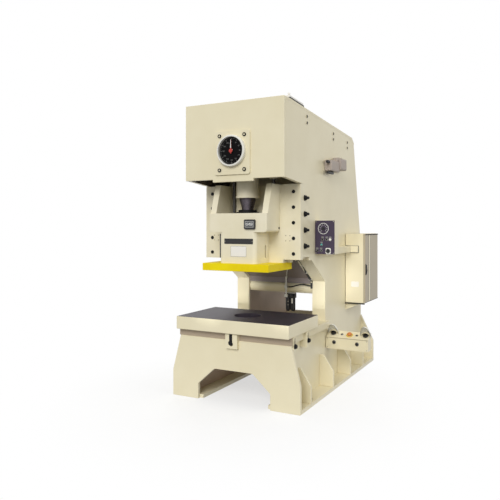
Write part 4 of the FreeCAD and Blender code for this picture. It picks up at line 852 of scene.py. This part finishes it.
class PRESS_OT_counter(bpy.types.Operator):
    """Window, drums and frame of the shut-height counter"""
    bl_idname = "press.counter"
    bl_label = "Height counter"

    def execute(self, context):
        low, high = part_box("height_counter")
        front = low[1]
        x, z = (low[0] + high[0]) / 2, (low[2] + high[2]) / 2
        wide, tall = high[0] - low[0], high[2] - low[2]
        put("counter_frame", [card(wide * 0.80, tall * 0.66, 0.004, front + 0.0010,
                                   front - 0.0030, x, z, 0.0008)], "aluminium", "slide")
        put("counter_window", [card(wide * 0.68, tall * 0.50, 0.002, front - 0.0028,
                                    front - 0.0036, x, z)], "drum_dark", "slide")
        rows = [(digit, x + (k - 2) * wide * 0.125, front - 0.0038, z, tall * 0.30)
                for k, digit in enumerate("02450")]
        put("counter_figures", figures(rows), "figure_white", "slide", smooth=False)
        return {"FINISHED"}


# ------------------------------------------------------------------------ dial

DIAL_Z = 1.807
DIAL_SEAT = -0.365
# distances from the dial's middle: its figures, and the outer ends of its marks
FIGURE_REACH, MARK_END = 0.099, 0.141


class PRESS_OT_dial(bpy.types.Operator):
    """Black dial with its marks and figures, and the cover's screws"""
    bl_idname = "press.dial"
    bl_label = "Crank angle dial"

    def execute(self, context):
        cover_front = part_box("dial_cover")[0][1]
        hand_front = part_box("dial_pointer")[0][1]
        hand = BODY_OF["dial_pointer"]
        seat = DIAL_SEAT
        centre = (0, seat, DIAL_Z)
        put("dial_face", [disc("Y", centre, 0.1495, -0.0016, 0.0004, 96)], "dial_black")
        turn = 2 * math.pi
        long = marks([turn * k / 12 for k in range(12)], 0.118, MARK_END, 0.0036, -0.0022,
                     -0.0014, centre)
        fine = marks([turn * k / 72 for k in range(72) if k % 6], 0.130, MARK_END, 0.0018,
                     -0.0022, -0.0014, centre)
        put("dial_marks", long + fine, "figure_dim", smooth=False)
        rows = [(str(30 * k), FIGURE_REACH * math.sin(turn * k / 12), seat - 0.0019,
                 DIAL_Z + FIGURE_REACH * math.cos(turn * k / 12), 0.0135) for k in range(12)]
        put("dial_figures", figures(rows), "figure_dim", smooth=False)
        cap = disc("Y", (0, hand_front, DIAL_Z), 0.021, -0.004, 0.0012, 32)
        put("pointer_boss", [cap], "red", hand)
        tip = slab("Y", np.array([[0.028, -0.0052], [0.117, -0.0026], [0.117, 0.0026],
                                  [0.028, 0.0052]]), hand_front - 0.0012,
                   hand_front - 0.0001, (0, 0, DIAL_Z))
        put("pointer_needle", [tip], "figure_white", hand)
        put("dial_cover_screws", [socket_head("Y", (x, cover_front + 0.0085, z), 0.0200, -0.0125)
                                  for x, z in grid((-0.152, 0.152), (1.605, 1.973))],
            "black_steel")
        return {"FINISHED"}


# -------------------------------------------------------------- operator's panel

PANEL_FACE = 0.512
PANEL_DIAL = (0.710, 0.975)
BUTTON_X, BUTTON_Z = (0.699, 0.749), 0.849
WHITE_BUTTON_X = 0.790
TEAL_LAMP = (0.687, 0.791)
SELECTOR_X, SELECTOR_Z = (0.634, 0.682), 0.723
KEY_PLACE = (0.767, 0.720)


class PRESS_OT_panel(bpy.types.Operator):
    """Dial, lamps, selectors, key surround and bare tags on the operator's panel"""
    bl_idname = "press.panel"
    bl_label = "Operator's panel"

    def execute(self, context):
        y = PANEL_FACE
        x, z = PANEL_DIAL
        centre = (x, y - 0.0012, z)
        put("panel_dial_print", [ring("Y", (x, y - 0.0045, z), 0.0585, 0.0640, -0.0012, 0.0003, 64)]
            + marks(np.radians(np.linspace(-135, 135, 10)), 0.043, 0.052, 0.0022, -0.0018, -0.0008,
                    centre), "figure_white")
        put("panel_dial_card", [disc("Y", centre, 0.0545, -0.0010, 0.0003, 64)], "panel")
        rows = [(str(k), x + 0.035 * math.sin(turn), y - 0.0025, z + 0.035 * math.cos(turn), 0.0105)
                for k, turn in enumerate(math.radians(30 * k - 135) for k in range(10))]
        put("panel_dial_figures", figures(rows), "figure_white", smooth=False)
        hub = knob("Y", (x, y - 0.0022, z), 0.0165, (0.0150, -0.011), 0.0130, -0.0125, 40)
        blade = box((x - 0.0025, x + 0.0025), (y - 0.0215, y - 0.0140), (z - 0.018, z + 0.018),
                    0.001)
        put("panel_dial_knob", [hub, blade], "black_plastic")
        put("panel_button_rims", [ring("Y", (x, y, BUTTON_Z), 0.0117, 0.0160, -0.0042, 0.001, 32)
                                  for x in BUTTON_X], "bright_steel")
        spot = (WHITE_BUTTON_X, y, BUTTON_Z)
        put("panel_white_button", [disc("Y", spot, 0.0115, -0.009, 0.002, 32),
                                   ring("Y", spot, 0.0117, 0.0160, -0.0042, 0.001, 32)],
            "white_plastic")
        lens = [(0, 0), (0.0125, 0), (0.0125, -0.006), (0.0098, -0.0105), (0.005, -0.0125),
                (0, -0.013)]
        put("panel_teal_lamp", [turned("Y", lens, (TEAL_LAMP[0], y, TEAL_LAMP[1]), 32)], "teal")
        knobs, lines = [], []
        for x in SELECTOR_X:
            knobs.append(knob("Y", (x, y, SELECTOR_Z), 0.0125, (0.0115, -0.012), 0.0095, -0.0135,
                              32))
            knobs.append(box((x - 0.0030, x + 0.0030), (y - 0.0205, y - 0.0130),
                             (SELECTOR_Z - 0.012, SELECTOR_Z + 0.012), 0.001))
            lines.append(box((x - 0.0009, x + 0.0009), (y - 0.0211, y - 0.0203),
                             (SELECTOR_Z - 0.001, SELECTOR_Z + 0.012)))
        put("panel_selectors", knobs, "black_plastic")
        put("panel_selector_lines", lines, "figure_white")
        put("panel_lamp_rims", [ring("Y", (x, y, z), 0.0127, 0.0165, -0.0035, 0.001, 32)
                                for x, z in (TEAL_LAMP, *grid(SELECTOR_X, [SELECTOR_Z]))],
            "bright_steel")
        put("panel_key_surround", [card(0.062, 0.066, 0.012, y - 0.0001, y - 0.0030, *KEY_PLACE,
                                        0.0008)], "white_plastic")
        tags = [*grid((*BUTTON_X, WHITE_BUTTON_X), [0.877]), *grid(SELECTOR_X, [0.750]),
                (TEAL_LAMP[0], 0.818)]
        put("panel_bare_tags", [card(0.030, 0.010, 0.0015, y - 0.0001, y - 0.0010, x, z)
                                for x, z in tags], "aluminium")
        put("panel_screws", [socket_head("Y", (x, y, z), 0.0055, -0.0042, 18)
                             for x, z in grid((0.620, 0.830), (0.694, 1.055))], "zinc")
        return {"FINISHED"}


# --------------------------------------------------------------------- console

SLOPE = math.atan2(0.062, 0.115)
SLOPE_MIDDLE = np.array([0.0, 0.9175, -0.299])
HOOD_OUTER = np.array([0.064, 0.060, 0.138])
HOOD_WALL = 0.005
PALM_X = {"left": 0.689, "right": 1.085}
STOP_X = 0.889
SMALL_BUTTON_X = (0.796, 0.978)
KNOB_X, KNOB_Z = (0.714, 0.997), -0.388
CONSOLE_FRONT = 0.860


def on_slope(points, x):
    """Points about an upright Z axis, leaned back with the console's sloping top."""
    points = np.asarray(points, float)
    y = points[:, 1] * math.cos(SLOPE) - points[:, 2] * math.sin(SLOPE)
    z = points[:, 1] * math.sin(SLOPE) + points[:, 2] * math.cos(SLOPE)
    return np.stack([points[:, 0] + x, y, z], -1) + SLOPE_MIDDLE


def sloped(x, part):
    points, faces = part
    return on_slope(points, x), faces


def hood(x, rows=14, columns=32):
    """A guard over a palm button: the rear half of a hollow egg, in two shells joined at
    their rims. A point at height angle a and turn b is (width cos a cos b,
    depth cos a sin b, height sin a)."""
    height = np.linspace(0, math.pi / 2, rows)[:, None]
    turn = np.linspace(0, math.pi, columns)[None, :]
    ball = np.stack([np.cos(height) * np.cos(turn), np.cos(height) * np.sin(turn),
                     np.sin(height) + 0 * turn], -1)
    shells = np.concatenate([ball * HOOD_OUTER, (ball * (HOOD_OUTER - HOOD_WALL))[::-1]])
    points = np.concatenate([shells, shells[:1]]).reshape(-1, 3)
    faces = grid_faces(2 * rows + 1, columns, False).tolist()
    return sloped(x, (points, faces))


class PRESS_OT_console(bpy.types.Operator):
    """Caps, rings and collars of the two-hand console"""
    bl_idname = "press.console"
    bl_label = "Console"

    def execute(self, context):
        dome = [(0, 0.0225), (0.012, 0.0228), (0.022, 0.0245), (0.0262, 0.0255), (0.0300, 0.0240),
                (0.0308, 0.0200), (0.0308, 0.0085), (0.0, 0.0085)]
        for word, x in PALM_X.items():
            put("palm_cap_" + word, [sloped(x, turned("Z", dome, (0, 0, 0), 48))], "black_plastic",
                BODY_OF["palm_button_" + word])
        put("console_button_rims",
            [sloped(x, ring("Z", (0, 0, 0), 0.0117, 0.0165, 0.0048, 0.0012, 32))
             for x in SMALL_BUTTON_X], "bright_steel")
        put("stop_collar", [sloped(STOP_X, ring("Z", (0, 0, 0), 0.029, 0.040, 0.003, 0.001, 48))],
            "knob_yellow")
        mushroom = [(0, 0.0305), (0.012, 0.0300), (0.021, 0.0275), (0.0268, 0.0235),
                    (0.0278, 0.0205), (0.0270, 0.0180), (0.0200, 0.0150), (0.0118, 0.0120),
                    (0.0118, -0.0100), (0, -0.0100)]
        put("stop_mushroom", [sloped(STOP_X, turned("Z", mushroom, (0, 0, 0), 48))], "orange",
            BODY_OF["emergency_stop"])
        for word, x in PALM_X.items():
            put("palm_hood_" + word, [hood(x)], "white_plastic")
        put("knob_collars", [ring("Y", (x, CONSOLE_FRONT, KNOB_Z), 0.0182, 0.0245, -0.003, 0.001,
                                  40) for x in KNOB_X], "bright_steel")
        put("console_screws", [socket_head("Y", (x, CONSOLE_FRONT, z), 0.0055, -0.004, 18)
                               for x, z in grid((0.628, 1.114), (-0.452, -0.348))], "zinc")
        # a joint line where the sloping lid meets the box
        seam = box((0.6125, 1.1275), (0.8584, 0.8602), (-0.3385, -0.3305))
        put("console_seam", [seam], "filler")
        return {"FINISHED"}


# ----------------------------------------------------------------------- cabinet

def box_x(x, y, z):
    """A plain block between two corners, made along X."""
    return slab("X", np.array([[y[0], z[0]], [y[1], z[0]], [y[1], z[1]], [y[0], z[1]]]),
                x[0], x[1], (0, 0, 0))


# the cabinet's front face is at Y 1.608
DOOR_FACE = 0.876
HANDLE_Y = 1.634


class PRESS_OT_cabinet(bpy.types.Operator):
    """Handle, strip with a painted highlight, joint lines, painted shadows and bare plate of the
    electric cabinet
    """
    bl_idname = "press.cabinet"
    bl_label = "Cabinet"

    def execute(self, context):
        outer = DOOR_FACE
        door = BODY_OF["cabinet_door"]
        # swing handle: a black escutcheon with a long lever on it
        plate = slab("X", rounded_outline(0.026, 0.150, 0.010), outer - 0.0005, outer + 0.0055,
                     (0, HANDLE_Y, 0.436), 0.0015)
        path = np.array([(outer + 0.0065 + 0.0085 * math.sin(math.pi * t), HANDLE_Y,
                          0.372 + 0.122 * t) for t in np.linspace(0, 1, 24)])
        lever = carried(path, rounded_outline(0.015, 0.011, 0.004, 5))
        hub = knob("X", (outer + 0.004, HANDLE_Y, 0.486), 0.0115, (0.0115, 0.010), 0.009, 0.013,
                   32)
        put("door_handle", [plate, lever, hub], "black_plastic", door)
        # a cream strip between the door's two leaves, whose light colour is a painted highlight on
        # the joggle there, and a painted shadow line under the door's top edge
        strip = slab("X", rounded_outline(0.056, 0.876, 0.003), outer - 0.0002, outer + 0.0014,
                     (0, 1.808, 0.4505), 0.0006)
        put("door_strip", [strip], "cream", door)
        put("door_joints", [box_x((outer - 0.0002, outer + proud), y, z) for proud, y, z in (
            (0.0006, (1.836, 1.846), (0.002, 0.898)), (0.0006, (1.771, 1.779), (0.002, 0.898)),
            (0.0030, (1.614, 2.224), (0.8860, 0.8985)),
            (0.0006, (1.614, 2.224), (0.0000, 0.0060)))], "dark_joint_and_shadow", door)
        # a dark frame round the duct's end: a gasket along its top and right, and painted shadow in
        # the strip under the duct
        put("duct_gasket", [box(x, (1.5985, 1.6078), z) for x, z in (
            ((0.6052, 0.7890), (0.7442, 0.7480)), ((0.6052, 0.7890), (0.6560, 0.6598)),
            ((0.7852, 0.7890), (0.6560, 0.7480)))], "dark_joint_and_shadow")
        put("cabinet_bare_plate", [card(0.104, 0.070, 0.004, 1.6079, 1.6068, 0.739, 0.241, 0.0004)],
            "white_plate")
        put("cabinet_plate_rivets", [rivet((x, 1.6068, z), 0.0028, 0.0022, 0.0012, 0.0018, 10)
                                     for x, z in grid((0.692, 0.786), (0.211, 0.271))], "zinc")
        # painted shadow: a dark strip across the cabinet's front where it meets its bracket
        put("cabinet_foot_gap", [box((0.6055, 0.8700), (1.6045, 1.6078), (-0.0200, -0.0020))],
            "dark_joint_and_shadow")
        return {"FINISHED"}


# -------------------------------------------------------------- air and valve

HOSE_ROUTE = [(0.097, 0.872, 0.242), (0.147, 0.872, 0.242), (0.215, 0.870, 0.266),
              (0.302, 0.869, 0.286), (0.378, 0.870, 0.268), (0.440, 0.870, 0.268)]


class PRESS_OT_air_hose(bpy.types.Operator):
    """Black hose from the tee to the column, on one smooth curve"""
    bl_idname = "press.air_hose"
    bl_label = "Air hose"

    def execute(self, context):
        curve = bpy.data.curves.new("black_air_hose", "CURVE")
        curve.dimensions = "3D"
        line = curve.splines.new("NURBS")
        line.points.add(len(HOSE_ROUTE) - 1)
        line.points.foreach_set("co", np.c_[HOSE_ROUTE, np.ones(len(HOSE_ROUTE))].ravel())
        line.order_u = 3
        line.use_endpoint_u = True
        line.resolution_u = 16
        curve.bevel_depth = 0.008
        curve.bevel_resolution = 5
        curve.use_fill_caps = True
        curve.materials.append(finish("rubber"))
        hose = bpy.data.objects.new("black_air_hose", curve)
        context.scene.collection.objects.link(hose)
        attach(hose, "frame")
        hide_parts("air_hose")
        nuts = []
        for (x, y, z), reach in ((HOSE_ROUTE[0], 0.020), (HOSE_ROUTE[-1], -0.018)):
            nuts.append(slab("X", circle(0.0135, 6), *sorted((x, x + reach)), (0, y, z), 0.0015))
        put("hose_nuts", nuts, "zinc")
        return {"FINISHED"}


class PRESS_OT_air_unit(bpy.types.Operator):
    """Bands, cap, knob and guard of the air unit, and a white strip on its bowl that is a painted
    highlight
    """
    bl_idname = "press.air_unit"
    bl_label = "Air unit"

    def execute(self, context):
        put("air_unit_band", [ring("Z", (x, 0.930, 0.104), 0.0285, 0.0325, 0.011, 0.002, 40)
                              for x in (0.080, 0.150)], "black_plastic")
        put("air_unit_cap", [slab("Z", rounded_outline(0.134, 0.054, 0.010), 0.1602, 0.1700,
                                  (0.115, 0.930, 0), 0.003)], "white_plastic")
        ribs = 16
        angle = np.linspace(0, 2 * np.pi, 6 * ribs, endpoint=False)
        radius = 0.0195 + 0.0010 * np.cos(ribs * angle)
        outline = radius[:, None] * np.stack([np.cos(angle), np.sin(angle)], -1)
        knob = slab("Y", outline, 0.8735, 0.9005, (0.150, 0, 0.132), 0.0025)
        put("air_unit_knob", [knob], "black_plastic")
        put("air_unit_guard", [box((0.092, 0.138), (0.925, 0.935), (-0.052, 0.100), 0.002)],
            "black_plastic")
        # painted highlight: a white strip on the right bowl's front
        put("air_unit_sight", [box((0.1400, 0.1570), (0.8975, 0.9035), (0.036, 0.100), 0.002)],
            "white_plastic")
        put("air_unit_screws", [disc("Y", (0.0915, 0.9045, z), 0.0060, -0.003, 0.001, 20)
                                for z in (0.014, 0.058)], "zinc")
        return {"FINISHED"}


class PRESS_OT_valve(bpy.types.Operator):
    """Pilot block, black fittings, screws and silencer sleeve of the clutch valve; the sleeve's
    white is a painted highlight
    """
    bl_idname = "press.valve"
    bl_label = "Clutch valve"

    def execute(self, context):
        x = 0.660
        # the pilot block stands round the valve's two coils
        block = slab("Y", rounded_outline(0.130, 0.092, 0.012), 0.8250, 1.1195, (0.6512, 0, 1.735),
                     0.004)
        put("valve_pilot_block", [block], "valve_taupe")
        fittings = [turned("Y", [(0, 0.840), (0.018, 0.840), (0.018, 0.770), (0.014, 0.764),
                                 (0, 0.764)], (x, 0, 1.774), 24),
                    turned("Z", [(0, 1.680), (0.017, 1.680), (0.017, 1.634), (0, 1.634)],
                           (x, 0.950, 0), 24),
                    turned("Y", [(0, 0.962), (0.0165, 0.962), (0.0165, 0.786), (0.013, 0.780),
                                 (0, 0.780)], (x, 0, 1.648), 24)]
        put("valve_fittings", fittings, "black_plastic")
        put("valve_screws", [socket_head("X", (0.715, y, z), 0.0075, 0.005, 18)
                             for y, z in grid((1.150, 1.310), (1.730, 1.834))], "zinc")
        # painted highlight: the silencer's sleeve and ribs are white
        sleeve = ring("Y", (x, 1.3385, 1.752), 0.0290, 0.0350, 0.0660, 0.003, 40)
        ribs = [ring("Y", (x, 1.345 + 0.0095 * k, 1.752), 0.0340, 0.0365, 0.0040, 0.0008, 40)
                for k in range(6)]
        put("silencer_sleeve", [sleeve, *ribs], "white_plastic")
        return {"FINISHED"}


# ------------------------------------------------------ throat and frame hardware

class PRESS_OT_throat(bpy.types.Operator):
    """Cross plate under the crown, its air line, and the dark cable on the lining"""
    bl_idname = "press.throat"
    bl_label = "Throat"

    def execute(self, context):
        outline = np.array([[0.345, 0.640], [0.440, 0.640], [0.884, 0.360], [0.884, 0.295],
                            [0.892, 0.295], [0.892, 0.3655], [0.443, 0.648], [0.345, 0.648]])
        # painted shade: the plate under the crown is coloured a dark brown grey
        put("throat_cross_plate", [slab("X", outline, -0.4397, 0.4397, (0, 0, 0))], "oily_primer")
        line = smooth_path([(0.080, 0.8555, 0.242), (0.080, 0.858, 0.300), (0.080, 0.872, 0.340),
                            (0.092, 0.868, 0.362), (0.135, 0.770, 0.424), (0.200, 0.655, 0.4965),
                            (0.262, 0.540, 0.569), (0.300, 0.462, 0.6175)], 60)
        put("thin_air_line", [carried(line, circle(0.0058, 12))], "white_plastic")
        route = [(0.360, 0.6130), (0.385, 0.6130), (0.407, 0.6125), (0.425, 0.6075),
                 (0.450, 0.5930), (0.500, 0.5599), (0.600, 0.4934), (0.700, 0.4270),
                 (0.800, 0.3606), (0.826, 0.3430), (0.841, 0.3270), (0.846, 0.3050),
                 (0.846, 0.2750), (0.846, 0.2410)]
        cable = smooth_path([(0.432, y, z) for y, z in route], 60)
        put("throat_cable_sheath", [carried(cable, circle(0.0140, 14))], "rubber")
        put("cable_clips", [box((0.418, 0.452), (y - 0.008, y + 0.008), (z - 0.016, z + 0.012),
                                0.001)
                            for y, z in ((0.52, 0.547), (0.66, 0.455), (0.80, 0.362))], "zinc")
        return {"FINISHED"}


SIDE_FACE = 0.605
BED_LOW, BED_FRONT = -0.305, -0.378
CLAMP_Z = -0.2340


def nut_on_washer(spot, side, radius, reach, washer, high, edge):
    """A hexagon nut that reaches between two distances along X, and its round washer."""
    nut = slab("X", circle(radius, 6), *sorted(side * at for at in reach), spot, edge)
    disk = [(0, -side * 0.001), (washer, -side * 0.001), (washer, side * high), (0, side * high)]
    return joined(nut, turned("X", disk, spot, 32))


def adjuster(side, z):
    """A guide adjusting screw: washer, hexagon nut and the screw's end, on a side plate."""
    spot = (side * SIDE_FACE, 0.206, z)
    end = [(0, 0.02), (0.0150, 0.02), (0.0150, 0.048), (0.0125, 0.052), (0, 0.052)]
    return joined(nut_on_washer(spot, side, 0.0290, (0.003, 0.024), 0.0330, 0.003, 0.003),
                  turned("X", [(radius, side * at) for radius, at in end], spot, 24))


def roof_z(y):
    """The height of the sloping roof at a distance back."""
    return 2.342 - 0.124 * (y + 0.207) / 2.109


def roof_sheet(low, high, half):
    """A sheet's outline (y, z) that lies along the roof, half a length each way."""
    near, far = roof_z(-half), roof_z(half)
    return np.array([[-half, near + low], [half, far + low], [half, far + high],
                     [-half, near + high]])


class PRESS_OT_fittings(bpy.types.Operator):
    """Plugs, guide adjusters, bed clamps and the cover on the roof"""
    bl_idname = "press.fittings"
    bl_label = "Frame hardware"

    def execute(self, context):
        # socket plugs high on the side plates
        pairs = [(y, high - drop) for y, high in ((0.265, 2.227), (1.137, 2.162), (1.686, 2.122))
                 for drop in (0, 0.072)]
        put("frame_plugs", [socket_head("X", (side * (SIDE_FACE + 0.0058), y, z), 0.0165,
                                        side * 0.0030, 24)
                            for side in (-1, 1) for y, z in pairs], "dark_plug")
        screws = [adjuster(side, 0.781 + 0.178 * k) for side in (-1, 1) for k in range(4)]
        put("guide_adjusters", screws, "black_steel")
        # clamp slots of the bed: black screws stand in the keyholes
        inner = BED_FRONT + 0.029
        put("bed_front_clamp", [box((-0.0235, 0.0075), (BED_FRONT - 0.0012, inner),
                                    (-0.245, -0.150)),
                                disc("Y", (-0.008, inner, -0.2450), 0.0255, -0.034, 0.002, 40)],
            "black_steel")
        feet, nuts, slots = [], [], []
        for side, y in grid((-1, 1), (-0.262, 0.100)):
            inner, reach = side * 0.6052, side * 0.690
            feet.append(box_x(sorted((inner, reach)), (y - 0.033, y + 0.033), (BED_LOW, -0.2212)))
            nuts.append(nut_on_washer((reach, y, CLAMP_Z), side, 0.0220, (0.0055, 0.0230),
                                      0.0265, 0.006, 0.0025))
            # painted shade: a darker tan strip on each boss stands for its slot
            slots.append(box_x(sorted((reach - side * 0.001, reach + side * 0.0012)),
                               (y - 0.0100, y + 0.0100), (-0.215, -0.150)))
        put("bed_side_feet", feet, "cream")
        put("bed_side_clamps", nuts, "black_steel")
        put("bed_side_slots", slots, "filler")
        # painted shade: a brown tan strip on the bed plate's edge, in the recess under the bolster
        put("bed_edge_primer", [box((-0.6900, 0.6900), (-0.3315, -0.3290), (-0.2190, -0.1412))],
            "primer")
        # the cover on the roof: a pale lid over a black band that is painted shadow under its edge,
        # and a breather at the right
        cover = [slab("X", roof_sheet(0.0130, 0.034, 0.185), 0.145, 0.598, (0, 0, 0))]
        neck = [(0, 0.030), (0.008, 0.030), (0.008, 0.046), (0.013, 0.048), (0.014, 0.058),
                (0.011, 0.064), (0, 0.066)]
        cover.append(turned("Z", neck, (0.580, -0.165, roof_z(-0.165)), 32))
        lid = put("roof_cover_lid", cover, "white_plate")
        put("roof_cover_gasket", [slab("X", roof_sheet(0.0, 0.0135, 0.19), 0.14, 0.604,
                                       (0, 0, 0))], "rubber")
        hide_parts("roof_cover")
        return {"FINISHED"}


# ---------------------------------------------------------------------- studio

# metres, and shares of white
FLOOR_REACH = 30
FLOOR_GLOW = 0.28
WORLD_LIGHT = 0.50
SHADOW_TO, WHITE_FROM = 0.9, 2.6
SPOT_STAND = (1.3, -7.0, 0.05)


class PRESS_OT_stage(bpy.types.Operator):
    """Floor, lamps, world and the camera of the photograph"""
    bl_idname = "press.stage"
    bl_label = "Studio"

    def execute(self, context):
        corners = [(x * FLOOR_REACH, y * FLOOR_REACH, CAD_BOX[0][2])
                   for x, y in ((-1, -1), (1, -1), (1, 1), (-1, 1))]
        mesh = bpy.data.meshes.new("floor")
        mesh.from_pydata(corners, [], [(0, 1, 2, 3)])
        floor = bpy.data.objects.new("floor", mesh)
        context.scene.collection.objects.link(floor)
        mesh.materials.append(studio_floor())
        lamp("front_light", (1.6, -8.5, 5.6), (0.3, 0.4, 0.5), math.radians(30), 1.85, "SUN")
        for name, target, power, cone, blend in (
                ("column_lamp_left", (-0.50, 0.6, 0.24), 1500, 3.8, 0.3),
                ("column_lamp_right", (0.54, 0.7, 0.26), 850, 4.4, 0.3),
                ("cabinet_lamp", (0.76, 1.5, 0.40), 480, 8.0, 1.0)):
            beam = lamp(name, SPOT_STAND, target, 0.12, power, "SPOT")
            beam.data.spot_size = math.radians(cone)
            beam.data.spot_blend = blend
        lamp("side_lamp", (8.0, 0.5, 3.5), (0.3, 0.9, 0.2), 4.0, 150)
        lamp("back_lamp", (-5.0, 6.5, 5.0), (0.0, 1.2, 0.6), 4.0, 160)
        world_light(context.scene)
        photo_camera(context.scene)
        context.scene.view_settings.view_transform = "Standard"
        return {"FINISHED"}


WIDTH_OF = {"AREA": "size", "SUN": "angle", "SPOT": "shadow_soft_size"}


def lamp(name, spot, target, width, power, kind="AREA"):
    """A soft lamp at a spot, turned to a target: a square of a width, or a far light
    that looks as wide as an angle."""
    light = bpy.data.lights.new(name, kind)
    setattr(light, WIDTH_OF[kind], width)
    light.energy = power
    item = bpy.data.objects.new(name, light)
    item.location = spot
    away = np.array(spot, float) - np.array(target, float)
    level = math.hypot(away[0], away[1])
    item.rotation_euler = (math.atan2(level, away[2]), 0, math.atan2(away[0], -away[1]))
    bpy.context.scene.collection.objects.link(item)
    return item


def seen_white(tree):
    """One where the camera, a mirror or glass looks, and nought for all other rays."""
    rays = add(tree, "ShaderNodeLightPath").outputs
    seen = sums(tree, "MAXIMUM", rays["Is Camera Ray"], rays["Is Glossy Ray"])
    return sums(tree, "MAXIMUM", seen, rays["Is Transmission Ray"])


def studio_floor():
    """Pale seamless paper: it shows white round the press and keeps its shadow."""
    coat, tree, place = start("white_studio_paper")
    fibre = noise(tree, place, 0.5, 2)
    colour = ramp(tree, fibre, [(0.3, linear("#FCFCFB")), (0.7, linear("#FFFFFE"))])
    paper = add(tree, "ShaderNodeBsdfPrincipled", Base_Color=colour, Roughness=0.9)
    strength = span(tree, seen_white(tree), FLOOR_GLOW, 1.0)
    glow = add(tree, "ShaderNodeEmission", Strength=strength)
    far = add(tree, "ShaderNodeVectorMath", {"operation": "LENGTH"}, i0=place).outputs["Value"]
    fade = add(tree, "ShaderNodeMapRange", {"interpolation_type": "SMOOTHSTEP"}, i0=far,
               i1=SHADOW_TO, i2=WHITE_FROM, i3=0.60, i4=1.0).outputs["Result"]
    show(tree, mixed(tree, fade, paper, glow))
    return coat


def world_light(scene):
    """An even white surround: as bright as paper where it is seen, and dimmer as light."""
    world = bpy.data.worlds.new("studio")
    world.use_nodes = True
    tree = world.node_tree
    tree.nodes.clear()
    strength = span(tree, seen_white(tree), WORLD_LIGHT, 1.0)
    light = add(tree, "ShaderNodeBackground", Color=(1, 1, 1, 1), Strength=strength)
    add(tree, "ShaderNodeOutputWorld", Surface=light.outputs[0])
    scene.world = world


def photo_camera(scene):
    """The photograph's camera, level, with its horizon set by the lens shift."""
    stage = scene.press_stage
    lens = bpy.data.cameras.new("photo_camera")
    lens.sensor_width = 36
    lens.lens = stage.lens
    lens.shift_x = stage.shift_x
    lens.shift_y = stage.shift_y
    camera = bpy.data.objects.new("photo_camera", lens)
    camera.location = (stage.camera_x, -stage.camera_back, stage.camera_z)
    camera.rotation_euler = (math.pi / 2, 0, stage.camera_turn)
    scene.collection.objects.link(camera)
    scene.camera = camera


class PRESS_PT_dressing(bpy.types.Panel):
    """Lists the pieces that can be dressed one by one"""
    bl_label = "Press dressing"
    bl_idname = "PRESS_PT_dressing"
    bl_space_type = "VIEW_3D"
    bl_region_type = "UI"
    bl_category = "Press"

    def draw(self, context):
        for step in STEPS:
            self.layout.operator(step.bl_idname)
        for group in GROUPS:
            settings = getattr(context.scene, group)
            for key in settings.__annotations__:
                self.layout.prop(settings, key)


GROUPS = {"press_paint": PressPaint, "press_edges": PressEdges, "press_stage": PressStage}
STEPS = [PRESS_OT_stage, PRESS_OT_air_hose, PRESS_OT_parts, PRESS_OT_gib_screws, PRESS_OT_screw,
         PRESS_OT_slide_plates, PRESS_OT_counter, PRESS_OT_dial, PRESS_OT_panel,
         PRESS_OT_console, PRESS_OT_cabinet, PRESS_OT_air_unit, PRESS_OT_valve,
         PRESS_OT_fittings, PRESS_OT_throat]
CLASSES = [*GROUPS.values(), *STEPS, PRESS_PT_dressing]


def register():
    for item in CLASSES:
        bpy.utils.register_class(item)
    for name, group in GROUPS.items():
        setattr(bpy.types.Scene, name, PointerProperty(type=group))


def unregister():
    for name in GROUPS:
        delattr(bpy.types.Scene, name)
    for item in reversed(CLASSES):
        bpy.utils.unregister_class(item)


def main():
    """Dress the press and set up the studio."""
    register()
    for step in STEPS:
        area, _, action = step.bl_idname.partition(".")
        getattr(getattr(bpy.ops, area), action)()


if __name__ == "__main__":
    main()
